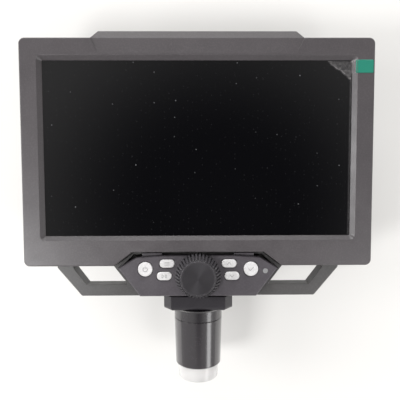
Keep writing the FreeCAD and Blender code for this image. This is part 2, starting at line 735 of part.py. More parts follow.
def lower_frame():
    outline = frame_outline()
    radii = [FRAME_CORNER, FRAME_CORNER, 0.0, 0.0]
    radii += radii[::-1]
    small = inset(outline, EDGE_CHAMFER)
    body = fuse([taper(small, FRAME_DEPTH, outline, FRAME_DEPTH + EDGE_CHAMFER, radii, radii),
                 plate(outline, FRAME_DEPTH + EDGE_CHAMFER, FRAME_BACK - EDGE_CHAMFER, radii),
                 taper(outline, FRAME_BACK - EDGE_CHAMFER, small, FRAME_BACK, radii, radii)])
    tools = [plate(wing_opening(side), FRAME_DEPTH, FRAME_BACK, [EDGE_CHAMFER] * 4) for side in (-1, 1)]
    tools.append(plate(pocket_outline(), FRAME_DEPTH, POCKET_BACK))
    tools.append(block(-CARRIAGE_GATE_HALF, CARRIAGE_GATE_HALF, FRAME_DEPTH, FRAME_BACK,
                       -FRAME_DROP, CAVITY_TOP))
    body = cut(body, tools)
    posts = [pin(x, z, BUTTON_POST_RADIUS, BUTTON_BOARD_BACK, POCKET_BACK)
             for side in (-1, 1) for x, z in board_post_places(side)]
    posts += [pin(x, z, PANEL_BOSS_RADIUS, FRAME_DEPTH, POCKET_BACK) for x, z in panel_screw_places()]
    body = fuse([body] + posts)
    holes = [pin(0.0, KNOB_LEVEL, SHAFT_RADIUS + FIT, POCKET_BACK, FRAME_BACK)]
    holes += [pin(x, z, PANEL_SCREW_RADIUS + SLIP, FRAME_DEPTH, FRAME_BACK) for x, z in panel_screw_places()]
    holes += [pin(x, z, PANEL_HEAD_RADIUS + SLIP, FRAME_BACK - FRAME_FLOOR / 2, FRAME_BACK)
              for x, z in panel_screw_places()]
    holes += [pin(x, z, NECK_SCREW_RADIUS + SLIP, POCKET_BACK, FRAME_BACK) for x, z in frame_screw_places()]
    holes += [pin(x, z, PANEL_SCREW_RADIUS, BUTTON_BOARD_BACK, POCKET_BACK)
              for side in (-1, 1) for x, z in board_post_places(side)]
    return cut(body, holes)


def panel_screws():
    return [screw(x, z, PANEL_SCREW_RADIUS - FIT, PANEL_HEAD_RADIUS, PANEL_HEAD_HEIGHT,
                  FRAME_BACK - FRAME_FLOOR / 2, SKIN_BACK + SLIP) for x, z in panel_screw_places()]


def frame_screws():
    return [screw(x, z, NECK_SCREW_RADIUS - FIT, NECK_HEAD_RADIUS, NECK_HEAD_HEIGHT,
                  POCKET_BACK, FRAME_BACK + FRAME_SCREW_BITE) for x, z in frame_screw_places()]


def button_board_screws():
    return [screw(x, z, PANEL_SCREW_RADIUS - FIT, PANEL_HEAD_RADIUS, PANEL_HEAD_HEIGHT,
                  BUTTON_BOARD_FRONT, POCKET_BACK - SLIP)
            for side in (-1, 1) for x, z in board_post_places(side)]


def button_board(side):
    edge = pocket_outline(BUTTON_BOARD_MARGIN)
    half = plate(edge, BUTTON_BOARD_FRONT, BUTTON_BOARD_BACK)
    keep = block(BUTTON_BOARD_INNER, POCKET_SIDE_HALF, BUTTON_BOARD_FRONT, BUTTON_BOARD_BACK,
                 -POCKET_BOTTOM, POCKET_TOP)
    if side < 0:
        keep = keep.mirror(point(0, 0, 0), FreeCAD.Vector(1, 0, 0))
    holes = [pin(x, z, PANEL_SCREW_RADIUS + SLIP, BUTTON_BOARD_FRONT, BUTTON_BOARD_BACK)
             for x, z in board_post_places(side)]
    return cut(half.common(keep), holes)


def panel_outline():
    return mirrored([(PANEL_BOTTOM_HALF, PANEL_BOTTOM), (PANEL_SIDE_HALF, PANEL_SIDE_LEVEL),
                     (PANEL_SHOULDER_HALF, PANEL_SHOULDER), (PANEL_TOP_HALF, PANEL_TOP)])


def pill(x, z, front, back, grow=0.0, shrink=0.0):
    """A stadium-ended plate, tapered by shrink at its front."""
    width = PILL_WIDTH + 2 * grow
    height = PILL_HEIGHT + 2 * grow
    corners = [(x + sx * width / 2, z + sz * height / 2) for sx, sz in ((-1, -1), (1, -1), (1, 1), (-1, 1))]
    radius = height / 2 - PILL_END_FLAT
    if not shrink:
        return plate(corners, front, back, [radius] * 4)
    return taper(inset(corners, shrink), front, corners, back, [radius - shrink] * 4, [radius] * 4)


def disc(x, z, front, back, grow=0.0, shrink=0.0):
    radius = ROUND_RADIUS + grow
    if not shrink:
        return pin(x, z, radius, front, back)
    return Part.makeCone(radius - shrink, radius, back - front, point(x, front, z), FreeCAD.Vector(0, 1, 0))


def buttons():
    """Name, shape function and place of every button."""
    def both(place):
        return [(-place[0], place[1]), place]
    left_round, right_round = both(ROUND_PLACE)
    upper_left, upper_right = both(UPPER_PLACE)
    lower_left, lower_right = both(LOWER_PLACE)
    return {"power_button": (disc, left_round), "confirm_button": (disc, right_round),
            "menu_button": (pill, upper_left), "play_button": (pill, lower_left),
            "up_button": (pill, upper_right), "down_button": (pill, lower_right)}


def button(name):
    shape, (x, z) = buttons()[name]
    front = PANEL_DEPTH - BUTTON_PROUD
    return fuse([shape(x, z, front, front + BUTTON_EDGE, shrink=BUTTON_EDGE),
                 shape(x, z, front + BUTTON_EDGE, SKIN_BACK + FIT),
                 shape(x, z, SKIN_BACK + FIT, FLANGE_BACK, grow=BUTTON_FLANGE),
                 pin(x, z, BUTTON_STEM_RADIUS, FLANGE_BACK, STEM_BACK)])


def control_panel():
    outline = panel_outline()
    body = fuse([taper(inset(outline, PANEL_CHAMFER), PANEL_DEPTH, outline, PANEL_DEPTH + PANEL_CHAMFER),
                 plate(outline, PANEL_DEPTH + PANEL_CHAMFER, FRAME_DEPTH)])
    lugs = [block(side * LUG_PLACE - LUG_WIDTH / 2, side * LUG_PLACE + LUG_WIDTH / 2, LUG_DEPTH, FRAME_DEPTH,
                  LUG_LEVEL, PANEL_TOP + LUG_HEIGHT) for side in (-1, 1)]
    body = fuse([body] + lugs).cut(plate(inset(outline, PANEL_WALL), SKIN_BACK, FRAME_DEPTH))
    bosses = [pin(x, z, PANEL_BOSS_RADIUS, SKIN_BACK, FRAME_DEPTH) for x, z in panel_screw_places()]
    body = fuse([body] + bosses)
    tools = [pin(x, z, PANEL_SCREW_RADIUS, SKIN_BACK, FRAME_DEPTH) for x, z in panel_screw_places()]
    for shape, (x, z) in buttons().values():
        tools.append(shape(x, z, PANEL_DEPTH, SKIN_BACK, grow=GAP))
        rim = shape(x, z, PANEL_DEPTH, PANEL_DEPTH + BUTTON_RIM / 2, grow=BUTTON_RIM)
        tools.append(rim)
    tools.append(pin(LIGHT_PLACE[0], LIGHT_PLACE[1], LIGHT_RADIUS + FIT, PANEL_DEPTH, SKIN_BACK))
    tools.append(pin(0.0, KNOB_LEVEL, BUSH_RADIUS + FIT, PANEL_DEPTH, SKIN_BACK))
    return cut(body, tools)


def tact_switches():
    switches = []
    body_front = PLUNGER_FRONT + PLUNGER_HEIGHT
    for _, (x, z) in buttons().values():
        half = SWITCH_SIZE / 2
        switches.append(fuse([block(x - half, x + half, body_front, BUTTON_BOARD_FRONT, z - half, z + half),
                              pin(x, z, PLUNGER_RADIUS, PLUNGER_FRONT, body_front)]))
    return switches


def indicator_lens():
    x, z = LIGHT_PLACE
    front = PANEL_DEPTH - SLIP
    return fuse([pin(x, z, LIGHT_RADIUS, front, SKIN_BACK),
                 pin(x, z, LIGHT_RADIUS + LIGHT_FLANGE, SKIN_BACK, BUTTON_BOARD_FRONT - LED_HEIGHT - GAP)])


def indicator_led():
    x, z = LIGHT_PLACE
    half = LED_SIZE / 2
    return block(x - half, x + half, BUTTON_BOARD_FRONT - LED_HEIGHT, BUTTON_BOARD_FRONT, z - half, z + half)


def neck_screw_places():
    return [(side * NECK_SCREW_X, z) for side in (-1, 1)
            for z in (NECK_SCREW_LOW, NECK_SCREW_HIGH)]


def neck_screws():
    return [screw(x, z, NECK_SCREW_RADIUS - FIT, NECK_HEAD_RADIUS, NECK_HEAD_HEIGHT,
                  COVER_BACK - WALL, COVER_BACK + NECK_SCREW_BITE) for x, z in neck_screw_places()]


def pad_shape(grow=0.0, length=PAD_LENGTH):
    """The clamp pad's sliding shape, a rod with two flats, from the post bore outwards."""
    radius = PAD_RADIUS + grow
    start = 0.0
    end = POST_RADIUS + PAD_RETREAT + length
    rod = cross(radius, start, end, POST_DEPTH, CLAMP_LEVEL)
    return rod.common(block(start, end, POST_DEPTH - radius, POST_DEPTH + radius,
                            CLAMP_LEVEL - PAD_FLAT - grow, CLAMP_LEVEL + PAD_FLAT + grow))


def neck_cores(under_cover):
    """The two pockets that keep the column's walls thin, behind the rear cover."""
    inner = POST_RADIUS + POST_CLEARANCE + CORE_WALL
    cores = []
    for side in (-1, 1):
        x0, x1 = sorted((side * inner, side * (NECK_HALF - CORE_WALL)))
        cores.append(block(x0, x1, COVER_BACK, NECK_BACK - CORE_WALL,
                           under_cover + CORE_WALL, NECK_TOP - NECK_TOP_CHAMFER - CORE_WALL))
    bosses = [pin(x, z, CORE_BOSS_RADIUS, COVER_BACK, COVER_BACK + NECK_SCREW_BITE + CORE_WALL)
              for x, z in neck_screw_places()]
    bosses.append(cross(CLAMP_HOUSING_RADIUS, 0.0, NECK_HALF, POST_DEPTH, CLAMP_LEVEL))
    return cut(Part.makeCompound(cores), bosses)


def long_back_edges(body):
    return [edge for edge in body.Edges if abs(edge.tangentAt(0).z) > 1 - FIT
            and all(end.Point.y > NECK_BACK - POST_DEPTH - FIT for end in edge.Vertexes)]


def foot_front_edges(body):
    reach = FOOT_DEPTH + FOOT_CHAMFER_DEPTH + FIT - POST_DEPTH
    return [edge for edge in body.Edges
            if all(end.Point.z < FIT - NECK_DROP and end.Point.y < reach for end in edge.Vertexes)]


def neck_housing():
    foot_top = -FRAME_DROP - 2 * GAP
    column_front = FRAME_BACK
    under_cover = NOTCH_HEIGHT - BRIDGE_GAP
    body = side_plate([(FOOT_DEPTH, -NECK_DROP), (NECK_BACK, -NECK_DROP),
                       (NECK_BACK, NECK_TOP - NECK_TOP_CHAMFER), (NECK_BACK - NECK_TOP_CHAMFER, NECK_TOP),
                       (COVER_BACK, NECK_TOP), (COVER_BACK, under_cover), (column_front, under_cover),
                       (column_front, foot_top), (FOOT_DEPTH, foot_top)], -NECK_HALF, NECK_HALF)
    corner = NECK_HALF - FOOT_FRONT_HALF
    facets = []
    for side in (-1, 1):
        corners = [point(side * x, depth, -NECK_DROP) for x, depth in
                   ((FOOT_FRONT_HALF, FOOT_DEPTH), (NECK_HALF, FOOT_DEPTH + FOOT_CHAMFER_DEPTH),
                    (NECK_HALF + corner, FOOT_DEPTH))]
        face = Part.Face(Part.makePolygon(corners + corners[:1]))
        facets.append(face.extrude(FreeCAD.Vector(0, 0, NECK_DROP + foot_top)))
    body = cut(body, facets)
    body = body.makeChamfer(NECK_EDGE, long_back_edges(body))
    body = body.makeFillet(FOOT_ROUNDING, foot_front_edges(body))
    tools = []
    bore = upright(POST_RADIUS + POST_CLEARANCE, -NECK_DROP, NECK_TOP, depth=POST_DEPTH)
    cavity = upright(CAVITY_RADIUS, -NECK_DROP, CAVITY_TOP)
    rack_side = PITCH_RADIUS + GEAR_MODULE + RACK_BACKING + 2 * GAP
    rack_slot = block(-GEAR_MODULE, rack_side, PINION_DEPTH - 2 * GAP, BARREL_DEPTH, BUSH_TOP, foot_top)
    pad_end = POST_RADIUS + PAD_RETREAT + PAD_LENGTH
    tools += [bore, cavity, rack_slot, neck_cores(under_cover), pad_shape(FIT, PAD_LENGTH + SLIP),
              cross(CLAMP_SCREW_RADIUS + FIT, pad_end, NECK_HALF, POST_DEPTH, CLAMP_LEVEL),
              cross(CLAMP_FLANGE_RADIUS + FIT, CLAMP_FLANGE_SEAT - FIT, NECK_HALF, POST_DEPTH, CLAMP_LEVEL)]
    tools += [pin(x, z, NECK_SCREW_RADIUS, COVER_BACK, COVER_BACK + NECK_SCREW_BITE + SLIP)
              for x, z in neck_screw_places()]
    tools += [pin(x, z, NECK_SCREW_RADIUS, FRAME_BACK, FRAME_BACK + FRAME_SCREW_BITE + SLIP)
              for x, z in frame_screw_places()]
    return cut(body, tools)


def clamp_pad():
    bite = upright(POST_RADIUS + POST_CLEARANCE, CLAMP_LEVEL - 2 * PAD_RADIUS, CLAMP_LEVEL + 2 * PAD_RADIUS,
                   depth=POST_DEPTH, x=PAD_RETREAT)
    end = POST_RADIUS + PAD_RETREAT + PAD_LENGTH
    thread = cross(CLAMP_SCREW_RADIUS + FIT, end - PAD_THREAD_LENGTH, end, POST_DEPTH, CLAMP_LEVEL)
    return cut(pad_shape(), [bite, thread])


def clamp_screw():
    tip = POST_RADIUS + PAD_RETREAT + PAD_LENGTH - PAD_THREAD_LENGTH + SCREW_TIP_GAP
    knob_start = NECK_HALF + CLAMP_KNOB_GAP
    return fuse([cross(CLAMP_SCREW_RADIUS, tip, knob_start + CLAMP_KNOB_THICKNESS / 2, POST_DEPTH, CLAMP_LEVEL),
                 cross(CLAMP_FLANGE_RADIUS, CLAMP_FLANGE_SEAT, CLAMP_FLANGE_SEAT + CLAMP_FLANGE_THICKNESS,
                       POST_DEPTH, CLAMP_LEVEL)])


def clamp_ring():
    start = NECK_HALF - CLAMP_RING_THICKNESS
    return cut(cross(CLAMP_FLANGE_RADIUS, start, NECK_HALF, POST_DEPTH, CLAMP_LEVEL),
               [cross(CLAMP_SCREW_RADIUS + FIT, start, NECK_HALF, POST_DEPTH, CLAMP_LEVEL)])


def clamp_knob():
    start = NECK_HALF + CLAMP_KNOB_GAP
    end = start + CLAMP_KNOB_THICKNESS
    body = cross(CLAMP_KNOB_RADIUS, start, end, POST_DEPTH, CLAMP_LEVEL)
    rims = [edge for edge in body.Edges if edge.Curve.TypeId == "Part::GeomCircle"]
    body = body.makeChamfer(EDGE_CHAMFER * 2, rims)
    tools = [cross(CLAMP_SCREW_RADIUS, start, start + CLAMP_KNOB_THICKNESS / 2, POST_DEPTH, CLAMP_LEVEL)]
    for i in range(CLAMP_LOBES):
        angle = 2 * math.pi * (i + 0.5) / CLAMP_LOBES
        reach = CLAMP_KNOB_RADIUS + CLAMP_LOBE_RADIUS / 2
        tools.append(cross(CLAMP_LOBE_RADIUS, start, end, POST_DEPTH + reach * math.cos(angle),
                           CLAMP_LEVEL + reach * math.sin(angle)))
    return cut(body, tools)


def barrel_collar():
    top = -NECK_DROP
    return turned([(BUSH_OUTER + FIT, top), (COLLAR_RADIUS, top), (BARREL_TOP_RADIUS, top - 2 * EDGE_CHAMFER),
                   (BARREL_TOP_RADIUS, SEAM_LEVEL + EDGE_CHAMFER / 2),
                   (BARREL_TOP_RADIUS - EDGE_CHAMFER / 2, SEAM_LEVEL), (SLEEVE_BORE - SLIP, SEAM_LEVEL),
                   (SLEEVE_BORE - SLIP, SEAM_LEVEL - SPIGOT_LENGTH), (BUSH_OUTER + FIT, SEAM_LEVEL - SPIGOT_LENGTH)])


def guide_bush():
    bore = CARRIAGE_RADIUS + FIT
    return turned([(bore, BUSH_BOTTOM), (BUSH_OUTER, BUSH_BOTTOM), (BUSH_OUTER, BUSH_TOP), (bore, BUSH_TOP)])


def barrel_sleeve():
    waist_top = SEAM_LEVEL - SPIGOT_LENGTH - GAP
    return turned([(SLEEVE_BORE, SEAM_LEVEL - FIT), (BARREL_TOP_RADIUS - EDGE_CHAMFER / 2, SEAM_LEVEL - FIT),
                   (BARREL_TOP_RADIUS, SEAM_LEVEL - EDGE_CHAMFER / 2), (BARREL_RIM_RADIUS, RIM_LEVEL + EDGE_CHAMFER),
                   (BARREL_RIM_RADIUS - EDGE_CHAMFER, RIM_LEVEL), (SLEEVE_BORE, RIM_LEVEL),
                   (SLEEVE_BORE, LED_BOARD_TOP), (SLEEVE_WAIST, LED_BOARD_TOP),
                   (SLEEVE_WAIST, waist_top), (SLEEVE_BORE, waist_top)])


def clear_tip():
    inner = TIP_RADIUS - TIP_WALL
    lip = TIP_LEVEL + 2 * TIP_WALL
    return turned([(inner, RIM_LEVEL + TIP_INSERT), (SLEEVE_BORE - SLIP, RIM_LEVEL + TIP_INSERT),
                   (SLEEVE_BORE - SLIP, RIM_LEVEL), (TIP_RADIUS, RIM_LEVEL - EDGE_CHAMFER),
                   (TIP_RADIUS - EDGE_CHAMFER, TIP_LEVEL + EDGE_CHAMFER),
                   (TIP_RADIUS - 2 * EDGE_CHAMFER, TIP_LEVEL), (TIP_HOLE + TIP_WALL, TIP_LEVEL),
                   (TIP_HOLE, TIP_LEVEL + TIP_WALL / 2), (TIP_HOLE, TIP_LEVEL + TIP_WALL), (inner - TIP_WALL, lip),
                   (inner, lip + TIP_WALL)])


def led_board():
    bottom = LED_BOARD_TOP - RING_BOARD_THICKNESS
    outer = SLEEVE_BORE - SLIP
    return turned([(LED_BOARD_HOLE, bottom), (outer, bottom), (outer, LED_BOARD_TOP), (LED_BOARD_HOLE, LED_BOARD_TOP)])


def ring_leds():
    lamps = []
    top = LED_BOARD_TOP - RING_BOARD_THICKNESS
    for i in range(RING_LED_COUNT):
        angle = 2 * math.pi * (i + 0.5) / RING_LED_COUNT
        x = RING_LED_PITCH_RADIUS * math.cos(angle)
        depth = BARREL_DEPTH + RING_LED_PITCH_RADIUS * math.sin(angle)
        lamps.append(upright(RING_LED_RADIUS, top - RING_LED_HEIGHT, top, depth=depth, x=x))
    return lamps


def lens_carriage():
    seat = CARRIAGE_BOTTOM + RETAINER_HEIGHT + FRONT_LENS_THICKNESS
    tube = turned([(CARRIAGE_BORE, CARRIAGE_BOTTOM), (CARRIAGE_RADIUS, CARRIAGE_BOTTOM),
                   (CARRIAGE_RADIUS, CARRIAGE_TOP), (CARRIAGE_BORE, CARRIAGE_TOP),
                   (CARRIAGE_BORE, REAR_LENS_LEVEL), (CARRIAGE_WAIST, REAR_LENS_LEVEL),
                   (CARRIAGE_WAIST, seat), (CARRIAGE_BORE, seat)])
    rack_back = PINION_DEPTH + RACK_THICKNESS
    right = PITCH_RADIUS + GEAR_MODULE + RACK_BACKING
    arm = block(0.0, right, rack_back, BARREL_DEPTH, CARRIAGE_TOP - ARM_HEIGHT, CARRIAGE_TOP)
    return fuse([tube, arm.cut(upright(CARRIAGE_BORE + FIT, CARRIAGE_TOP - ARM_HEIGHT, CARRIAGE_TOP))])


def front_lens():
    return lens(CARRIAGE_BOTTOM + RETAINER_HEIGHT, FRONT_LENS_THICKNESS)


def rear_lens():
    return lens(REAR_LENS_LEVEL, REAR_LENS_THICKNESS)


def lens_retainer():
    outer = CARRIAGE_BORE - FIT
    top = CARRIAGE_BOTTOM + RETAINER_HEIGHT
    return turned([(RETAINER_BORE + RETAINER_HEIGHT, CARRIAGE_BOTTOM), (outer, CARRIAGE_BOTTOM),
                   (outer, top), (RETAINER_BORE + RETAINER_HEIGHT / 2, top)])


def sensor_board():
    half = SENSOR_BOARD_SIZE / 2
    return block(-half, half, BARREL_DEPTH - half, BARREL_DEPTH + half,
                 CARRIAGE_TOP, CARRIAGE_TOP + SENSOR_BOARD_THICKNESS)


def image_sensor():
    return block(-SENSOR_WIDTH / 2, SENSOR_WIDTH / 2, BARREL_DEPTH - SENSOR_HEIGHT / 2,
                 BARREL_DEPTH + SENSOR_HEIGHT / 2, CARRIAGE_TOP - SENSOR_THICKNESS, CARRIAGE_TOP)


# The pinion has true involute teeth and the rack has straight ones, thinned by a small clearance,
# so that they roll on each other at the pitch line without touching.
def involute_tooth(centre_angle):
    """Corners of one pinion tooth, as (x, z) about the shaft, from root to tip and back."""
    pressure = math.radians(PRESSURE_ANGLE)
    base = PITCH_RADIUS * math.cos(pressure)
    outer = PITCH_RADIUS + GEAR_MODULE
    root = PITCH_RADIUS - 1.25 * GEAR_MODULE
    at_pitch = math.tan(pressure) - pressure
    half_width = math.pi / (2 * PINION_TEETH) - TOOTH_CLEARANCE / PITCH_RADIUS
    flank = [(root, half_width + at_pitch)]
    steps = 4
    for i in range(steps + 1):
        radius = base + (outer - base) * i / steps
        roll = math.sqrt(max((radius / base) ** 2 - 1.0, 0.0))
        flank.append((radius, half_width + at_pitch - (roll - math.atan(roll))))
    lower = [(r * math.cos(centre_angle - a), r * math.sin(centre_angle - a)) for r, a in flank]
    upper = [(r * math.cos(centre_angle + a), r * math.sin(centre_angle + a)) for r, a in reversed(flank)]
    return lower + upper


def focus_pinion():
    outline = []
    for i in range(PINION_TEETH):
        outline += involute_tooth(2 * math.pi * i / PINION_TEETH)
    outline = [(x, KNOB_LEVEL + z) for x, z in outline]
    body = plate(outline, PINION_DEPTH, PINION_DEPTH + PINION_WIDTH)
    return body.cut(pin(0.0, KNOB_LEVEL, SHAFT_RADIUS, PINION_DEPTH, PINION_DEPTH + PINION_WIDTH))


def focus_rack():
    pitch = math.pi * GEAR_MODULE
    lean = math.tan(math.radians(PRESSURE_ANGLE))
    back = PITCH_RADIUS + GEAR_MODULE + RACK_BACKING
    root = PITCH_RADIUS + 1.25 * GEAR_MODULE
    tip = PITCH_RADIUS - GEAR_MODULE
    bottom = CARRIAGE_TOP - ARM_HEIGHT
    top = KNOB_LEVEL + RACK_ABOVE
    half_tooth = pitch / 4 - TOOTH_CLEARANCE
    at_tip = half_tooth - lean * GEAR_MODULE
    at_root = half_tooth + lean * 1.25 * GEAR_MODULE
    outline = [(back, bottom), (back, top), (root, top)]
    count = int(RACK_ABOVE / pitch)
    for i in range(count - 1, -count - 1, -1):
        z = KNOB_LEVEL + (i + 0.5) * pitch
        outline += [(root, z + at_root), (tip, z + at_tip), (tip, z - at_tip), (root, z - at_root)]
    outline.append((root, bottom))
    return plate(outline, PINION_DEPTH, PINION_DEPTH + RACK_THICKNESS)


def focus_shaft():
    front = PANEL_DEPTH - GAP - KNOB_HEIGHT + KNOB_FACE_THICKNESS + KNOB_DISH + GAP
    return pin(0.0, KNOB_LEVEL, SHAFT_RADIUS, front, FRAME_BACK - GAP)


def shaft_bush():
    body = fuse([pin(0.0, KNOB_LEVEL, BUSH_RADIUS, PANEL_DEPTH, PANEL_DEPTH + BUSH_LENGTH),
                 pin(0.0, KNOB_LEVEL, BUSH_FLANGE_RADIUS, SKIN_BACK, SKIN_BACK + BUSH_FLANGE_THICKNESS)])
    return body.cut(pin(0.0, KNOB_LEVEL, SHAFT_RADIUS + FIT, PANEL_DEPTH, PANEL_DEPTH + BUSH_LENGTH))


def shaft_clip():
    front = PANEL_DEPTH + BUSH_LENGTH + SLIP
    return cut(pin(0.0, KNOB_LEVEL, CLIP_RADIUS, front, front + CLIP_THICKNESS),
               [pin(0.0, KNOB_LEVEL, SHAFT_RADIUS, front, front + CLIP_THICKNESS),
                block(-SHAFT_RADIUS * 0.7, SHAFT_RADIUS * 0.7, front, front + CLIP_THICKNESS,
                      KNOB_LEVEL - CLIP_RADIUS, KNOB_LEVEL)])


def ridged_outline(radius, groove):
    """A ring of raised ribs with grooves between them."""
    outline = []
    share = math.pi / KNOB_RIDGES
    for i in range(KNOB_RIDGES):
        middle = 2 * share * i
        for reach, offset in ((radius - groove, -share * (1 - RIDGE_SHARE * 0.6)),
                              (radius, -share * RIDGE_SHARE), (radius, share * RIDGE_SHARE),
                              (radius - groove, share * (1 - RIDGE_SHARE * 0.6))):
            outline.append((reach * math.cos(middle + offset), KNOB_LEVEL + reach * math.sin(middle + offset)))
    return outline


def focus_knob():
    back = PANEL_DEPTH - GAP
    front = back - KNOB_HEIGHT
    edge = front + 2 * EDGE_CHAMFER
    body = fuse([taper(ridged_outline(KNOB_FRONT_RADIUS, GROOVE_FRONT_DEPTH), edge,
                       ridged_outline(KNOB_BASE_RADIUS, GROOVE_BASE_DEPTH), back),
                 Part.makeCone(KNOB_RIM_RADIUS, KNOB_FRONT_RADIUS - GROOVE_FRONT_DEPTH, edge - front,
                               point(0.0, front, KNOB_LEVEL), FreeCAD.Vector(0, 1, 0))])
    tools = [pin(0.0, KNOB_LEVEL, KNOB_FACE_RADIUS + FIT, front, front + KNOB_FACE_THICKNESS)]
    inner = KNOB_BASE_RADIUS - GROOVE_BASE_DEPTH - KNOB_WALL
    hollow = cut(pin(0.0, KNOB_LEVEL, inner, back - KNOB_HOLLOW, back),
                 [pin(0.0, KNOB_LEVEL, KNOB_HUB_RADIUS, back - KNOB_HOLLOW, back)])
    tools += [hollow, pin(0.0, KNOB_LEVEL, SHAFT_RADIUS, front + KNOB_FACE_THICKNESS, back)]
    return cut(body, tools)


def knob_face():
    """A disc with a shallow dish turned in its front."""
    front = PANEL_DEPTH - GAP - KNOB_HEIGHT
    radius = KNOB_FACE_RADIUS
    disc_body = pin(0.0, KNOB_LEVEL, radius, front, front + KNOB_FACE_THICKNESS)
    ball = (radius ** 2 + KNOB_DISH ** 2) / (2 * KNOB_DISH)
    dish = Part.makeSphere(ball, point(0.0, front + KNOB_DISH - ball, KNOB_LEVEL))
    return disc_body.cut(dish)


def export(name, made):
    """Write one node, as one solid or as a group of separate ones."""
    shapes = made if isinstance(made, list) else [made]
    solids = [solid for shape in shapes for solid in shape.Solids]
    whole = solids[0] if len(solids) == 1 else Part.makeCompound(solids)
    print(name, "solids", len(solids), "valid", whole.isValid(), "volume", round(whole.Volume, 2))
    whole.exportStep("parts/" + name + ".step")


def main():
    os.makedirs("parts", exist_ok=True)
    makers = [front_bezel, rear_cover, lower_frame, neck_housing, control_panel,
              screen_glass, lcd_panel, lcd_back_plate, protective_film, film_tab,
              main_board, board_screws, processor_chip, usb_socket, card_socket,
              battery_cells, battery_tray, case_screws, neck_screws, frame_screws, panel_screws,
              button_board_screws, tact_switches, indicator_lens, indicator_led,
              shaft_bush, focus_shaft, focus_pinion, shaft_clip, focus_knob, knob_face,
              focus_rack, lens_carriage, front_lens, rear_lens, lens_retainer, sensor_board, image_sensor,
              guide_bush, barrel_collar, barrel_sleeve, clear_tip, led_board, ring_leds,
              clamp_knob, clamp_screw, clamp_ring, clamp_pad]
    for maker in makers:
        export(maker.__name__, maker())
    export("left_button_board", button_board(-1))
    export("right_button_board", button_board(1))
    for name in buttons():
        export(name, button(name))


main()
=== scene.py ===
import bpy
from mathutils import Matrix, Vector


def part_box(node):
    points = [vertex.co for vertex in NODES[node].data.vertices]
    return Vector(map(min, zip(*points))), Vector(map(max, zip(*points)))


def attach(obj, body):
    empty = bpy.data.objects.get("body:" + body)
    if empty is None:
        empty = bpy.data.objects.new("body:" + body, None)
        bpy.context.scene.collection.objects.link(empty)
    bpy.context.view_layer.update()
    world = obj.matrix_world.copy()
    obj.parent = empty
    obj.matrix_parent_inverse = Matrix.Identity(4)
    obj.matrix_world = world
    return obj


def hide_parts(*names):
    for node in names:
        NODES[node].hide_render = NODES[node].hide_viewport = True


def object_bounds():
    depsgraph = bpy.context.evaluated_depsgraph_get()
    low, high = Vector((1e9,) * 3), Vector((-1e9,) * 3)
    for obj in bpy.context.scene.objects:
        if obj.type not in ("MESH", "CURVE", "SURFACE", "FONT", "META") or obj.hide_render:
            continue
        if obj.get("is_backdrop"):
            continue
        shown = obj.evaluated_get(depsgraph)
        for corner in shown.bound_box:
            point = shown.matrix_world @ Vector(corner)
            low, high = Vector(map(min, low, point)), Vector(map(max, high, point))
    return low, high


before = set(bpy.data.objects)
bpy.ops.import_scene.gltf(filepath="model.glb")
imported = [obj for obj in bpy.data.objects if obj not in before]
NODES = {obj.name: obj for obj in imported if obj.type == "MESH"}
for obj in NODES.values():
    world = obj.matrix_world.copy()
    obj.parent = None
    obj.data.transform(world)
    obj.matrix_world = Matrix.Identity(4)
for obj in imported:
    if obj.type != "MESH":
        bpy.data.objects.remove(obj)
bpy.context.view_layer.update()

import math

import bmesh
import bpy
from mathutils import Matrix, Vector, noise

SCENE = bpy.context.scene
SCENE.view_settings.view_transform = "Standard"

MM = 0.001
BEVEL_SAMPLES = 6


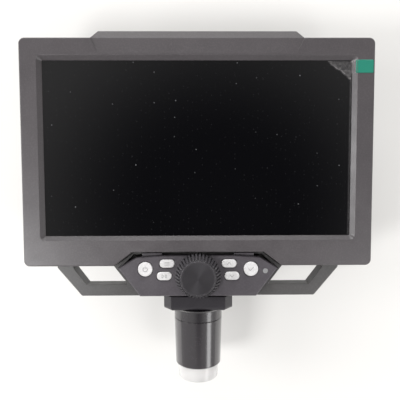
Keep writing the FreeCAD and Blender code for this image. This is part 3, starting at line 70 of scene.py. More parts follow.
# Materials
class Shader:
    """A small helper that adds nodes to one material and links them."""

    def __init__(self, name):
        self.material = bpy.data.materials.new(name)
        self.material.use_nodes = True
        self.tree = self.material.node_tree
        self.tree.nodes.clear()
        self.output = self.tree.nodes.new("ShaderNodeOutputMaterial")
        self.place = self.tree.nodes.new("ShaderNodeTexCoord").outputs["Object"]

    def node(self, kind, inputs=(), **settings):
        made = self.tree.nodes.new(kind)
        for key, value in settings.items():
            setattr(made, key, value)
        for key, value in dict(inputs).items():
            self.feed(made.inputs[key], value)
        return made

    def feed(self, socket, value):
        """Links another node's output to the socket, or sets its plain value."""
        if isinstance(value, bpy.types.NodeSocket):
            self.tree.links.new(value, socket)
        elif isinstance(value, tuple) and len(value) == 3 and socket.type == "RGBA":
            socket.default_value = (*value, 1.0)
        else:
            socket.default_value = value

    def noise(self, scale, detail=3.0, roughness=0.55, stretch=None):
        place = self.place
        if stretch:
            place = self.node("ShaderNodeMapping", {"Vector": place, "Scale": stretch}).outputs["Vector"]
        made = self.node("ShaderNodeTexNoise", {"Vector": place, "Scale": scale, "Detail": detail,
                                                "Roughness": roughness})
        return made.outputs["Fac"]

    def ramp(self, value, low, high, start=0.0, end=1.0):
        """Start up to low, end from high on, and an even slope between them."""
        made = self.node("ShaderNodeMapRange", {"Value": value, "From Min": low, "From Max": high,
                                                "To Min": start, "To Max": end})
        made.clamp = True
        return made.outputs["Result"]

    def mix(self, share, first, second):
        made = self.node("ShaderNodeMix", {0: share, 6: first, 7: second}, data_type="RGBA")
        return made.outputs[2]

    def maths(self, operation, first, second):
        return self.node("ShaderNodeMath", {0: first, 1: second}, operation=operation).outputs[0]

    def facing_front(self):
        """The object's X and Z as a flat pair, for patterns on faces that look along Y."""
        turned = self.node("ShaderNodeMapping", {"Vector": self.place, "Rotation": (math.pi / 2, 0.0, 0.0)})
        return turned.outputs["Vector"]

    def rounded(self, radius):
        return self.node("ShaderNodeBevel", {"Radius": radius}, samples=BEVEL_SAMPLES).outputs["Normal"]

    def edges(self, radius):
        """1 along sharp edges and 0 on flat faces."""
        flattest, sharpest = 0.02, 0.25
        soft = self.rounded(radius)
        flat = self.node("ShaderNodeNewGeometry").outputs["Normal"]
        dot = self.node("ShaderNodeVectorMath", {0: soft, 1: flat}, operation="DOT_PRODUCT").outputs["Value"]
        return self.ramp(self.maths("SUBTRACT", 1.0, dot), flattest, sharpest)

    def bump(self, height, strength, distance, normal=None):
        inputs = {"Height": height, "Strength": strength, "Distance": distance}
        if normal is not None:
            inputs["Normal"] = normal
        return self.node("ShaderNodeBump", inputs).outputs["Normal"]

    def surface(self, **inputs):
        made = self.node("ShaderNodeBsdfPrincipled")
        for key, value in inputs.items():
            self.feed(made.inputs[key.replace("_", " ")], value)
        self.tree.links.new(made.outputs["BSDF"], self.output.inputs["Surface"])
        return self.material


def shade(colour, factor):
    return tuple(min(1.0, channel * factor) for channel in colour)


def grained_plastic(name, colour, rough, grain=0.04 * MM, scale=1050.0, edge_wear_and_highlight=1.5, soft=0.4 * MM):
    """Moulded plastic with a fine grain, slow mottling, and edges painted paler: partly rubbed wear, partly a
    painted highlight where the edges catch the light.
    """
    darker, paler, grain_paler = 0.93, 1.07, 1.6
    grain_share, edge_wear_and_highlight_share, gloss_spread = 0.5, 0.5, 0.05
    s = Shader(name)
    slow = s.noise(38.0, detail=2.0)
    fine = s.noise(scale, detail=2.0, roughness=0.6)
    body = s.mix(s.ramp(slow, 0.3, 0.7), shade(colour, darker), shade(colour, paler))
    body = s.mix(s.maths("MULTIPLY", s.ramp(fine, 0.45, 0.70), grain_share), body, shade(colour, grain_paler))
    # Edges painted paler through the edge mask: partly rubbed wear, partly painted highlight.
    body = s.mix(s.maths("MULTIPLY", s.edges(soft), edge_wear_and_highlight_share), body, shade(colour, edge_wear_and_highlight))
    gloss = s.ramp(s.noise(120.0), 0.3, 0.7, rough - gloss_spread, rough + gloss_spread)
    normal = s.bump(fine, 0.45, grain, s.rounded(soft))
    return s.surface(Base_Color=body, Roughness=gloss, Normal=normal)


def polish(s, rough):
    """The gloss and normal of a polished piece, with faint handling marks and slightly soft edges."""
    smear_spread = 0.08
    smear = s.noise(90.0, detail=4.0, roughness=0.6, stretch=(1.0, 1.0, 0.3))
    gloss = s.ramp(smear, 0.35, 0.75, rough, rough + smear_spread)
    return gloss, s.bump(s.noise(700.0, detail=2.0), 0.06, 0.04 * MM, s.rounded(0.3 * MM))


def smooth_plastic(name, colour, rough):
    """Polished moulding."""
    darker, paler = 0.95, 1.05
    s = Shader(name)
    body = s.mix(s.ramp(s.noise(55.0, detail=2.0), 0.3, 0.7), shade(colour, darker), shade(colour, paler))
    gloss, normal = polish(s, rough)
    return s.surface(Base_Color=body, Roughness=gloss, Normal=normal)


def dusty_barrel(name, colour, rough, coat):
    """Glossy black tube with the fine dust that gathers on it."""
    dot_core, dot_rim, dust_cover, dust_paler = 0.10, 0.26, 0.4, 6.0
    s = Shader(name)
    dots = s.node("ShaderNodeTexVoronoi", {"Vector": s.place, "Scale": 900.0}).outputs["Distance"]
    patches = s.ramp(s.noise(160.0, detail=2.0), 0.48, 0.62)
    dust = s.maths("MULTIPLY", s.ramp(dots, dot_core, dot_rim, 1.0, 0.0), patches)
    body = s.mix(s.maths("MULTIPLY", dust, dust_cover), colour, shade(colour, dust_paler))
    gloss, normal = polish(s, rough)
    return s.surface(Base_Color=body, Roughness=gloss, IOR=1.6, Coat_Weight=coat, Coat_Roughness=0.14,
                     Normal=normal)


def metal(name, colour, rough, stretch=(1.0, 1.0, 1.0)):
    """Metal with fine scratches, drawn out by the stretch."""
    darker, scratch_spread, scratch_depth = 0.85, 0.14, 0.02 * MM
    s = Shader(name)
    lines = s.noise(900.0, roughness=0.7, stretch=stretch)
    body = s.mix(s.ramp(lines, 0.35, 0.7), shade(colour, darker), colour)
    gloss = s.ramp(lines, 0.3, 0.7, rough, rough + scratch_spread)
    return s.surface(Base_Color=body, Metallic=1.0, Roughness=gloss,
                     Normal=s.bump(lines, 0.2, scratch_depth, s.rounded(0.2 * MM)))


def specks(s, scale, size, share, brightness):
    """Round dust specks on faces that look along Y, in that share of the cells, as a cover from 0 up."""
    core = size * 0.4
    cells = s.node("ShaderNodeTexVoronoi", {"Vector": s.facing_front(), "Scale": scale},
                   voronoi_dimensions="2D")
    luck = s.node("ShaderNodeSeparateColor", {"Color": cells.outputs["Color"]}).outputs["Red"]
    spot = s.ramp(cells.outputs["Distance"], core, size, 1.0, 0.0)
    return s.maths("MULTIPLY", spot, s.ramp(luck, 1.0 - share, 1.0, 0.0, brightness))


def display_glass():
    """Polished cover glass over the switched-off display, with dust specks and a haze of finer dust."""
    clean, dusty = (0.0016, 0.0016, 0.0024), (0.26, 0.265, 0.28)
    s = Shader("cover_glass")
    coarse = specks(s, scale=75.0, size=0.036, share=0.22, brightness=0.7)
    fine = specks(s, scale=330.0, size=0.12, share=0.35, brightness=0.07)
    dust = s.maths("MAXIMUM", coarse, fine)
    gloss = s.ramp(s.noise(30.0, detail=4.0), 0.4, 0.75, 0.03, 0.07)
    return s.surface(Base_Color=s.mix(dust, clean, dusty), Roughness=s.maths("MAXIMUM", gloss, dust), IOR=1.5)


def board_material(name, resist, track):
    """Solder resist over copper, which shows as paler tracks."""
    s = Shader(name)
    cells = s.node("ShaderNodeTexBrick", {"Vector": s.facing_front(), "Scale": 160.0, "Mortar Size": 0.08,
                                          "Brick Width": 0.9, "Row Height": 0.22}).outputs["Fac"]
    tracks = s.maths("MULTIPLY", cells, s.ramp(s.noise(130.0, detail=2.0), 0.45, 0.55))
    body = s.mix(tracks, resist, track)
    return s.surface(Base_Color=body, Roughness=0.38, Normal=s.bump(tracks, 0.3, 0.03 * MM))


def lens_material(name, tint, rough=0.02, clear=1.0):
    """Clear or milky polished moulding that lets light through."""
    rough_spread = 0.04
    s = Shader(name)
    gloss = s.ramp(s.noise(60.0, detail=2.0), 0.4, 0.8, rough, rough + rough_spread)
    return s.surface(Base_Color=tint, Roughness=gloss, Transmission_Weight=clear, IOR=1.49, Coat_Weight=0.2,
                     Coat_Roughness=0.02)


def clear_acrylic():
    """The barrel's tip: milky clear acrylic, a little uneven, with a soft gloss."""
    s = Shader("clear_acrylic")
    flow = s.noise(240.0, detail=2.0, roughness=0.5, stretch=(1.0, 1.0, 0.4))
    body = s.mix(s.ramp(flow, 0.35, 0.65), (0.99, 0.98, 0.98), (1.0, 0.995, 0.995))
    return s.surface(Base_Color=body, Roughness=s.ramp(flow, 0.3, 0.7, 0.10, 0.18), Transmission_Weight=0.45,
                     IOR=1.3, Coat_Weight=0.3, Coat_Roughness=0.05,
                     Normal=s.bump(flow, 0.08, 0.05 * MM, s.rounded(0.3 * MM)))


def turned_metal():
    """The dial's disc, black anodised and faced on a lathe, so that it reflects in fans."""
    s = Shader("turned_disc")
    low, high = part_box("knob_face")
    shifted = s.node("ShaderNodeVectorMath", {0: s.place, 1: tuple((low + high) / 2)}, operation="SUBTRACT")
    flat = s.node("ShaderNodeVectorMath", {0: shifted.outputs[0], 1: (1.0, 0.0, 1.0)}, operation="MULTIPLY")
    reach = s.node("ShaderNodeVectorMath", {0: flat.outputs[0]}, operation="LENGTH").outputs["Value"]
    rings = s.node("ShaderNodeTexNoise", {"W": reach, "Scale": 5200.0, "Detail": 2.0},
                   noise_dimensions="1D").outputs["Fac"]
    tangent = s.node("ShaderNodeVectorMath", {0: flat.outputs[0], 1: (0.0, 1.0, 0.0)},
                     operation="CROSS_PRODUCT").outputs[0]
    body = s.mix(s.ramp(rings, 0.3, 0.7), (0.070, 0.067, 0.074), (0.130, 0.124, 0.136))
    return s.surface(Base_Color=body, Metallic=0.8, Roughness=0.34, Anisotropic=0.8, Tangent=tangent,
                     Normal=s.bump(rings, 0.16, 0.02 * MM))


def clear_film():
    """Thin protective film: nearly invisible where it lies flat, whitish where it is creased or ends, and on
    the tongue over the bevel whitish also as a painted glare.
    """
    least_cover, most_cover, streak_share = 0.006, 0.9, 0.55
    s = Shader("protective_film")
    haze = s.node("ShaderNodeAttribute", attribute_name="haze").outputs["Fac"]
    streaks = s.ramp(s.noise(420.0, detail=5.0, roughness=0.75, stretch=(1.0, 1.0, 1.7)), 0.38, 0.72)
    streaked = s.maths("ADD", s.maths("MULTIPLY", streaks, streak_share), 1.0 - streak_share)
    cover = s.maths("MULTIPLY", haze, streaked)
    alpha = s.maths("ADD", s.maths("MULTIPLY", cover, most_cover), least_cover)
    body = s.mix(cover, (0.16, 0.16, 0.17), (0.62, 0.58, 0.58))
    return s.surface(Base_Color=body, Roughness=s.ramp(cover, 0.0, 1.0, 0.10, 0.38), Alpha=alpha,
                     Normal=s.bump(s.noise(900.0, detail=4.0), 0.25, 0.06 * MM))


MATERIALS = {
    "housing": grained_plastic("housing_grain", (0.047, 0.042, 0.045), 0.38),
    "frame": grained_plastic("frame_grain", (0.042, 0.040, 0.040), 0.40),
    "panel": grained_plastic("panel_grain", (0.044, 0.039, 0.045), 0.38, soft=0.5 * MM),
    "rear": grained_plastic("rear_grain", (0.050, 0.048, 0.049), 0.55, grain=0.06 * MM, scale=1300.0),
    # Darker than the housing's plastic: painted shade for the neck's shaded lower band.
    "neck": grained_plastic("neck_satin", (0.033, 0.030, 0.036), 0.42, grain=0.02 * MM),
    # The dial's ridge edges painted 4.5 times paler: mostly painted highlight on the crests, a little wear.
    "knob": grained_plastic("knob_satin", (0.052, 0.049, 0.054), 0.3, grain=0.01 * MM, edge_wear_and_highlight=4.5,
                            soft=0.25 * MM),
    "disc": turned_metal(),
    "barrel": dusty_barrel("barrel_gloss", (0.024, 0.020, 0.025), 0.20, coat=1.0),
    "collar": dusty_barrel("collar_gloss", (0.026, 0.023, 0.027), 0.24, coat=0.8),
    "button": grained_plastic("button_satin", (0.77, 0.755, 0.765), 0.38, grain=0.01 * MM, edge_wear_and_highlight=1.1),
    "glass": display_glass(),
    "display": smooth_plastic("display_layers", (0.006, 0.006, 0.008), 0.2),
    "steel": metal("plated_steel", (0.60, 0.60, 0.61), 0.24),
    "black_steel": metal("blackened_screws", (0.10, 0.10, 0.105), 0.34),
    "brass": metal("brass", (0.66, 0.50, 0.24), 0.26, stretch=(1.0, 6.0, 1.0)),
    "anodised": metal("anodised_tube", (0.055, 0.053, 0.057), 0.32, stretch=(1.0, 1.0, 8.0)),
    "board": board_material("green_board", (0.018, 0.16, 0.07), (0.04, 0.30, 0.14)),
    "black_board": board_material("black_board", (0.012, 0.012, 0.013), (0.028, 0.027, 0.025)),
    "chip": grained_plastic("chip_mould", (0.022, 0.022, 0.023), 0.5),
    "recess": smooth_plastic("recess_shadow", (0.010, 0.010, 0.011), 0.45),
    "cell": smooth_plastic("cell_wrap", (0.03, 0.13, 0.36), 0.28),
    "acetal": smooth_plastic("natural_acetal", (0.72, 0.72, 0.68), 0.4),
    "lamp": lens_material("indicator_lens", (0.78, 0.78, 0.80), rough=0.25, clear=0.6),
    "led": smooth_plastic("lamp_body", (0.86, 0.84, 0.70), 0.3),
    "tip": clear_acrylic(),
    "lens": lens_material("coated_glass", (0.82, 0.88, 0.96)),
    "film": clear_film(),
    "tab": smooth_plastic("tab_green", (0.012, 0.225, 0.155), 0.36),
    "ink": smooth_plastic("button_ink", (0.40, 0.40, 0.40), 0.5),
}

BOARDS = ("main_board", "sensor_board", "led_board")
BLACK_BOARDS = ("left_button_board", "right_button_board")
BUTTONS = ("power_button", "confirm_button", "menu_button", "play_button", "up_button", "down_button")
FINISH = {
    "front_bezel": "housing", "rear_cover": "rear", "lower_frame": "frame", "neck_housing": "neck",
    "control_panel": "panel", "screen_glass": "glass", "lcd_panel": "display",
    "processor_chip": "chip", "battery_cells": "cell", "battery_tray": "chip", "tact_switches": "chip",
    "indicator_lens": "lamp", "indicator_led": "led", "ring_leds": "led", "shaft_bush": "brass",
    "focus_pinion": "brass", "focus_knob": "knob", "clamp_knob": "knob", "knob_face": "disc",
    "focus_rack": "acetal", "guide_bush": "acetal", "lens_carriage": "anodised", "lens_retainer": "anodised",
    "front_lens": "lens", "rear_lens": "lens", "image_sensor": "chip", "barrel_collar": "collar",
    "barrel_sleeve": "barrel", "clear_tip": "tip", "clamp_pad": "brass", "case_screws": "black_steel",
    "panel_screws": "black_steel",
    **{board: "board" for board in BOARDS}, **{board: "black_board" for board in BLACK_BOARDS},
    **{button: "button" for button in BUTTONS},
}


def finish_nodes():
    """Each node of the frame gets its material, and what is not listed is plated steel."""
    for name, node in NODES.items():
        node.data.materials.clear()
        node.data.materials.append(MATERIALS[FINISH.get(name, "steel")])


# Pieces that stand for a node or are added to one
def new_piece(name, vertices, faces, material, body, smooth=True):
    """A visible piece that moves with that body and belongs to that material slot."""
    mesh = bpy.data.meshes.new(name)
    mesh.from_pydata([tuple(v) for v in vertices], [], faces)
    mesh.validate()
    for polygon in mesh.polygons:
        polygon.use_smooth = smooth
    mesh.materials.append(MATERIALS[material])
    piece = bpy.data.objects.new(name, mesh)
    SCENE.collection.objects.link(piece)
    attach(piece, body)
    return piece


def grid_faces(columns, rows):
    """The quads of a grid whose points are listed row by row."""
    stride = columns + 1
    return [(i, i + 1, i + 1 + stride, i + stride)
            for i in (row * stride + column for row in range(rows) for column in range(columns))]


def hazy_sheet(name, vertices, columns, rows, haze):
    """A sheet of film that keeps the haze at each of its points for the film's material."""
    sheet = new_piece(name, vertices, grid_faces(columns, rows), "film", "housing")
    layer = sheet.data.attributes.new("haze", "FLOAT", "POINT")
    layer.data.foreach_set("value", haze)
    return sheet


def patchy(x, z, scale, layer):
    """Smooth noise over the front, from -1 to 1, different in each layer."""
    return noise.noise(Vector((x * scale, layer, z * scale)))


def protective_film():
    """The film as a thin sheet over the glass, with a creased corner beside its pull tab."""
    low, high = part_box("protective_film")
    glass_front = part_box("screen_glass")[0].y
    columns, rows = 240, 136
    column_crowding, row_crowding = 0.75, 0.8
    crease_width, crease_height, wander_share = 15.5 * MM, 12.0 * MM, 0.16
    fold_line, lift_slope = 0.07, 3.0
    flat_lift, crease_lift, ripple_lift = 0.04 * MM, 0.30 * MM, 0.28 * MM
    ripple_scale, ripple_layer, ripple_power, ripple_step, ripple_octaves = 420.0, 1.7, 0.8, 2.2, 4
    inner_haze, inner_slope = 0.55, 5.0
    rim_haze, rim_width = 0.45, 1.1 * MM
    vertices, haze = [], []
    for row in range(rows + 1):
        for column in range(columns + 1):
            x = low.x + (high.x - low.x) * (column / columns) ** column_crowding
            z = low.z + (high.z - low.z) * (row / rows) ** row_crowding
            across, down = high.x - x, high.z - z
            wander = wander_share * patchy(x, z, 260.0, layer=4.0)
            crease = max(0.0, 1.0 - across / crease_width - down / crease_height + wander)
            ripple_place = Vector((x * ripple_scale, ripple_layer, z * ripple_scale))
            ripple = noise.fractal(ripple_place, ripple_power, ripple_step, ripple_octaves)
            lift = flat_lift + min(1.0, crease * lift_slope) * (crease_lift + ripple_lift * ripple)
            vertices.append(Vector((x, glass_front - lift, z)))
            fold = max(0.0, 1.0 - abs(crease - fold_line) / fold_line)
            inside = min(inner_haze, crease * inner_slope) * (0.75 + 0.5 * patchy(x, z, 700.0, layer=9.0))
            rim = rim_haze * max(0.0, 1.0 - across / rim_width)
            haze.append(min(1.0, max(rim, inside, fold)))
    film = hazy_sheet("film_sheet", vertices, columns, rows, haze)
    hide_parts("protective_film")


def film_tongue():
    """The film's tongue, which climbs the bevel to carry the pull tab, whitish partly from its own haze and
    partly as a painted glare.
    """
    tab_low, tab_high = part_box("film_tab")
    glass_front, bezel_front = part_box("screen_glass")[0].y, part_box("front_bezel")[0].y
    start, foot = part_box("protective_film")[1].x - 0.4 * MM, 0.3 * MM
    crest, lap, rise = 3.4 * MM, 0.7 * MM, 0.02 * MM
    path = [(start, glass_front - foot), (start + 2.0 * foot, glass_front - 2.0 * foot),
            (start + crest, bezel_front - foot), (tab_low.x + lap, min(tab_low.y, bezel_front) - rise)]
    columns, rows = 24, 16
    wrinkle_height = 0.1 * MM
    # The tongue's whiteness is partly the film's haze and partly painted glare from the bevel.
    least_haze_and_glare, wrinkle_haze_and_glare, edge_haze_and_glare, edge_narrowness = 0.35, 0.75, 0.5, 8.0
    vertices, haze = [], []
    for row in range(rows + 1):
        z = tab_low.z + (tab_high.z - tab_low.z) * row / rows
        for column in range(columns + 1):
            along = column / columns * (len(path) - 1)
            piece = min(int(along), len(path) - 2)
            share = along - piece
            (x0, y0), (x1, y1) = path[piece], path[piece + 1]
            wrinkle = wrinkle_height * noise.noise(Vector((column * 0.35, row * 0.5, 2.0)))
            arch = math.sin(math.pi * column / columns)
            vertices.append(Vector((x0 + (x1 - x0) * share, y0 + (y1 - y0) * share - abs(wrinkle) * arch, z)))
            creased = abs(noise.noise(Vector((column * 0.4, row * 0.3, 7.0))))
            top_edge = max(0.0, 1.0 - abs(row / rows - 1.0) * edge_narrowness)
            haze.append(min(1.0, least_haze_and_glare + wrinkle_haze_and_glare * arch * creased + edge_haze_and_glare * top_edge))
    hazy_sheet("film_tongue", vertices, columns, rows, haze)


def pull_tab():
    """The film's green tab: a thin strip, a little bowed, with rounded corners."""
    low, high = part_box("film_tab")
    columns, rows = 28, 20
    width, thickness, height = (high.x - low.x), (high.y - low.y) * 0.8, (high.z - low.z)
    corner_share, corner_inset = 0.08, 0.25 * MM
    bow_height, bow_waves, bow_fade = 0.04 * MM, 1.3, 2.0
    vertices = []
    for side in (0, 1):
        for row in range(rows + 1):
            for column in range(columns + 1):
                u, v = column / columns, row / rows
                near_x = max(0.0, abs(2 * u - 1) - 1 + corner_share) / corner_share
                near_z = max(0.0, abs(2 * v - 1) - 1 + corner_share) / corner_share
                inset = corner_inset * near_x * near_z
                x = low.x + width * u + math.copysign(inset, 0.5 - u)
                z = low.z + height * v + math.copysign(inset, 0.5 - v)
                bow = bow_height * math.sin(u * math.pi * bow_waves) * math.cos(v * bow_fade)
                y = high.y - (thickness + bow) * (1 - side)
                vertices.append(Vector((x, max(low.y, min(high.y, y)), z)))
    front = grid_faces(columns, rows)
    layer = (columns + 1) * (rows + 1)
    back = [tuple(layer + i for i in reversed(face)) for face in front]
    stride = columns + 1
    rim = list(range(stride)) + [row * stride + columns for row in range(1, rows + 1)]
    rim += [rows * stride + column for column in range(columns - 1, -1, -1)]
    rim += [row * stride for row in range(rows - 1, 0, -1)]
    edge = [(i, layer + i, layer + j, j) for i, j in zip(rim, rim[1:] + rim[:1])]
    tab = new_piece("green_pull_tab", vertices, front + back + edge, "tab", "housing")
    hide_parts("film_tab")


def stroke(points, width, closed=False):
    """A line of that width through (x, z) points, as one quad for each run and a round dot at each point."""
    dot_sides = 10
    polygons = []
    ends = points[1:] + (points[:1] if closed else [])
    for (x0, z0), (x1, z1) in zip(points, ends):
        length = math.hypot(x1 - x0, z1 - z0)
        nx, nz = -(z1 - z0) / length * width / 2, (x1 - x0) / length * width / 2
        polygons.append([(x0 + nx, z0 + nz), (x1 + nx, z1 + nz), (x1 - nx, z1 - nz), (x0 - nx, z0 - nz)])
    for x, z in points:
        polygons.append([(x + math.cos(a) * width / 2, z + math.sin(a) * width / 2)
                         for a in (-math.tau * i / dot_sides for i in range(dot_sides))])
    return polygons


def arc(radius, start, end):
    """Points along an arc round the middle, between two angles in degrees."""
    steps = 18
    turns = [math.radians(start + (end - start) * i / steps) for i in range(steps + 1)]
    return [(radius * math.cos(turn), radius * math.sin(turn)) for turn in turns]


def printed_sign(name, button, polygons):
    """A sign printed on a button, as an ink layer a few hundredths of a millimetre thick."""
    low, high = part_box(button)
    centre_x, centre_z = (low.x + high.x) / 2, (low.z + high.z) / 2
    proud, sunk = 0.02 * MM, 0.01 * MM
    vertices, faces = [], []
    for polygon in polygons:
        start, count = len(vertices), len(polygon)
        for depth in (low.y - proud, low.y + sunk):
            vertices += [Vector((centre_x + x * MM, depth, centre_z + z * MM)) for x, z in polygon]
        faces.append(tuple(start + i for i in range(count)))
        faces += [(start + i, start + count + i, start + count + (i + 1) % count, start + (i + 1) % count)
                  for i in range(count)]
    new_piece(name, vertices, faces, "ink", button + "_body", smooth=False)


def signs():
    """Generic signs, in millimetres: power, menu lines, play and pause, up and down, and a tick."""
    fine, medium, bold = 0.30, 0.34, 0.42
    pause_bars = [stroke([(x, -1.05), (x, 1.05)], medium) for x in (0.75, 1.5)]
    drawings = {
        "power": stroke(arc(1.45, 120, 420), medium) + stroke([(0.0, 0.5), (0.0, 1.75)], medium),
        "menu": sum((stroke([(-1.5, z), (1.5, z)], fine) for z in (-0.85, 0.0, 0.85)), []),
        "play": sum(pause_bars, stroke([(-1.5, -1.15), (-1.5, 1.15), (-0.1, 0.0)], fine, closed=True)),
        "up": stroke([(-1.2, -0.65), (0.0, 0.75), (1.2, -0.65)], medium),
        "down": stroke([(-1.2, 0.65), (0.0, -0.75), (1.2, 0.65)], medium),
        "confirm": stroke([(-1.5, 0.1), (-0.4, -1.05), (1.7, 1.2)], bold),
    }
    for name, polygons in drawings.items():
        printed_sign(name + "_sign", name + "_button", polygons)


def solid_boxes(node_name):
    """The lowest and highest corner of each separate solid in a node."""
    weld_distance = 1e-7
    bm = bmesh.new()
    bm.from_mesh(NODES[node_name].data)
    bmesh.ops.remove_doubles(bm, verts=bm.verts, dist=weld_distance)
    seen, boxes = set(), []
    for start in bm.verts:
        if start in seen:
            continue
        seen.add(start)
        stack, group = [start], []
        while stack:
            vertex = stack.pop()
            group.append(vertex.co.copy())
            for edge in vertex.link_edges:
                other = edge.other_vert(vertex)
                if other not in seen:
                    seen.add(other)
                    stack.append(other)
        boxes.append((Vector([min(v[i] for v in group) for i in range(3)]),
                      Vector([max(v[i] for v in group) for i in range(3)])))
    bm.free()
    return boxes


def cross_recess(name, centre, radius, turn):
    """The cross-shaped socket of a screw head that faces the back, as a dark star with bevelled walls."""
    arm, half = radius * 0.62, radius * 0.15
    corner = half * 1.5
    rim, floor = (1.0, 0.03 * MM), (0.72, 0.01 * MM)
    outline = [(arm, -half), (arm, half), (corner, corner),
               (half, arm), (-half, arm), (-corner, corner),
               (-arm, half), (-arm, -half), (-corner, -corner),
               (-half, -arm), (half, -arm), (corner, -corner)]
    spin = Matrix.Rotation(turn, 3, "Y")
    vertices = [centre + spin @ Vector((x * scale, 0.0, z * scale)) + Vector((0.0, depth, 0.0))
                for scale, depth in (rim, floor) for x, z in outline]
    count = len(outline)
    faces = [((i + 1) % count, i, count + i, count + (i + 1) % count) for i in range(count)]
    faces.append(tuple(reversed(range(count, 2 * count))))
    new_piece(name, vertices, faces, "recess", "housing", smooth=False)


def screw_recesses(node_name, radius):
    """A recess on each screw of a node, each turned by a little more, because no one lines screws up."""
    turn_step = 0.3
    for index, (low, high) in enumerate(solid_boxes(node_name)):
        centre = (low + high) / 2
        centre.y = high.y
        cross_recess(f"{node_name}_recess_{index}", centre, radius, turn_step * index)


# Camera
def place_camera():
    """The photograph's view: from in front of the screen, a little above its middle and tilted down."""
    yaw, pitch, roll = math.radians(0.55), math.radians(3.38), math.radians(-0.16)
    place = Vector((-0.0013, -0.3215, 0.05942))
    focal_pixels, picture_pixels = 425.0, 400.0
    ahead = Vector((math.sin(yaw) * math.cos(pitch), math.cos(yaw) * math.cos(pitch), -math.sin(pitch)))
    level = Vector((math.cos(yaw), -math.sin(yaw), 0.0))
    turn = Matrix.Rotation(-roll, 3, ahead)
    right, up = turn @ level, turn @ level.cross(ahead)
    data = bpy.data.cameras.new("view")
    data.sensor_width = 36.0
    data.lens = focal_pixels / picture_pixels * data.sensor_width
    data.clip_start, data.clip_end = 0.01, 20.0
    camera = bpy.data.objects.new("view", data)
    SCENE.collection.objects.link(camera)
    camera.matrix_world = Matrix.Translation(place) @ Matrix((right, up, -ahead)).transposed().to_4x4()
    SCENE.camera = camera


# Light and stage
TARGET = Vector((0.0, -0.02, 0.03))
PALE = (1.0, 0.985, 0.965)


def soft_lamp(name, azimuth, elevation, distance, size, watts):
    """An area lamp aimed at the object. Azimuth 0 is straight in front of the screen, 90 is at its right."""
    azimuth, elevation = math.radians(azimuth), math.radians(elevation)
    away = Vector((math.sin(azimuth) * math.cos(elevation), -math.cos(azimuth) * math.cos(elevation),
                   math.sin(elevation)))
    data = bpy.data.lights.new(name, "AREA")
    data.shape = "RECTANGLE"
    data.size, data.size_y = size
    data.energy = watts
    lamp = bpy.data.objects.new(name, data)
    SCENE.collection.objects.link(lamp)
    lamp.location = TARGET + away * distance
    lamp.rotation_mode = "QUATERNION"
    lamp.rotation_quaternion = (-away).to_track_quat("-Z", "Y")
    return lamp


def room():
    """A pale room that is dark just behind the camera, so that the glass shows black in its middle."""
    world = bpy.data.worlds.new("studio")
    SCENE.world = world
    world.use_nodes = True
    tree = world.node_tree
    tree.nodes.clear()

    def add(kind, **settings):
        made = tree.nodes.new(kind)
        for key, value in settings.items():
            setattr(made, key, value)
        return made

    dark_middle = Vector((0.05, -1.0, -0.08)).normalized()
    outer_angle, inner_angle = math.radians(28.0), math.radians(8.0)
    bright, dark = 0.62, 0.03
    nearness = add("ShaderNodeVectorMath", operation="DOT_PRODUCT")
    nearness.inputs[1].default_value = dark_middle
    tree.links.new(add("ShaderNodeTexCoord").outputs["Generated"], nearness.inputs[0])
    strength = add("ShaderNodeMapRange", interpolation_type="SMOOTHSTEP")
    limits = {"From Min": math.cos(outer_angle), "From Max": math.cos(inner_angle),
              "To Min": bright, "To Max": dark}
    for key, value in limits.items():
        strength.inputs[key].default_value = value
    tree.links.new(nearness.outputs["Value"], strength.inputs["Value"])
    pale, soft = add("ShaderNodeBackground"), add("ShaderNodeBackground")
    for background in (pale, soft):
        background.inputs["Color"].default_value = (*PALE, 1.0)
    tree.links.new(strength.outputs["Result"], soft.inputs["Strength"])
    mix, output = add("ShaderNodeMixShader"), add("ShaderNodeOutputWorld")
    tree.links.new(add("ShaderNodeLightPath").outputs["Is Camera Ray"], mix.inputs[0])
    tree.links.new(soft.outputs[0], mix.inputs[1])
    tree.links.new(pale.outputs[0], mix.inputs[2])
    tree.links.new(mix.outputs[0], output.inputs["Surface"])


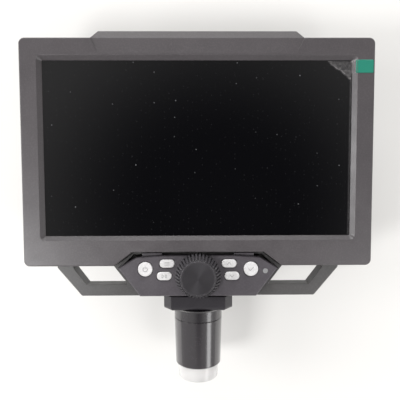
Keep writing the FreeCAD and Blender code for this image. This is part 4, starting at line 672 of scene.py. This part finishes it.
def table():
    """The pale table that the object lies on with its back. Seen from behind it lets the view through."""
    half_width, gap, glow_share = 1.5, 0.5 * MM, 0.25
    s = Shader("table")
    matt = s.node("ShaderNodeBsdfDiffuse", {"Color": (0.64, 0.632, 0.618)}).outputs["BSDF"]
    glow = s.node("ShaderNodeEmission", {"Color": PALE, "Strength": 1.0}).outputs["Emission"]
    clear = s.node("ShaderNodeBsdfTransparent").outputs["BSDF"]
    rays = s.node("ShaderNodeLightPath").outputs
    seen = s.maths("MAXIMUM", rays["Is Camera Ray"],
                   s.maths("MAXIMUM", rays["Is Glossy Ray"], rays["Is Transmission Ray"]))
    pale = s.node("ShaderNodeMixShader", {0: s.maths("MULTIPLY", seen, glow_share), 1: matt, 2: glow})
    back = s.node("ShaderNodeNewGeometry").outputs["Backfacing"]
    through = s.maths("MAXIMUM", back, rays["Is Shadow Ray"])
    both = s.node("ShaderNodeMixShader", {0: through, 1: pale.outputs[0], 2: clear})
    s.tree.links.new(both.outputs[0], s.output.inputs["Surface"])
    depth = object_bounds()[1].y + gap
    corners = [(-half_width, depth, -half_width), (half_width, depth, -half_width),
               (half_width, depth, half_width), (-half_width, depth, half_width)]
    mesh = bpy.data.meshes.new("table")
    mesh.from_pydata(corners, [], [(0, 1, 2, 3)])
    mesh.materials.append(s.material)
    top = bpy.data.objects.new("table", mesh)
    SCENE.collection.objects.link(top)
    top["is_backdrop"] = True
    return top


def light_only(lamp, objects):
    """Keeps a lamp to those objects, as a studio flag would, so that it leaves no streak on the barrel."""
    receivers = bpy.data.collections.new(lamp.name + "_receivers")
    for lit in objects:
        receivers.objects.link(lit)
    lamp.light_linking.receiver_collection = receivers


def lamps(table_top):
    """Seven lamps: name, azimuth and elevation in degrees, distance and size in metres, and watts."""
    front_shell = [NODES[name] for name in ("front_bezel", "lower_frame", "control_panel")] + [table_top]
    for setting in (("window", -66.0, 4.0, 1.1, (0.5, 0.45), 7.0),
                    ("front_fill", -28.0, 58.0, 1.1, (0.8, 0.4), 3.0),
                    ("right_strip", 54.0, -18.0, 1.1, (0.34, 0.9), 3.6),
                    ("above", 0.0, 72.0, 1.1, (1.0, 0.4), 6.0),
                    ("behind", 165.0, 25.0, 1.2, (1.0, 1.0), 7.0)):
        soft_lamp(*setting)
    for setting in (("low_left", -38.0, -17.0, 0.9, (0.25, 0.25), 5.4),
                    ("low_right", 34.0, -26.0, 0.9, (0.25, 0.25), 2.0)):
        light_only(soft_lamp(*setting), front_shell)


finish_nodes()
protective_film()
film_tongue()
pull_tab()
signs()
screw_recesses("case_screws", 2.2 * MM)
screw_recesses("panel_screws", 1.9 * MM)
place_camera()
room()
lamps(table())
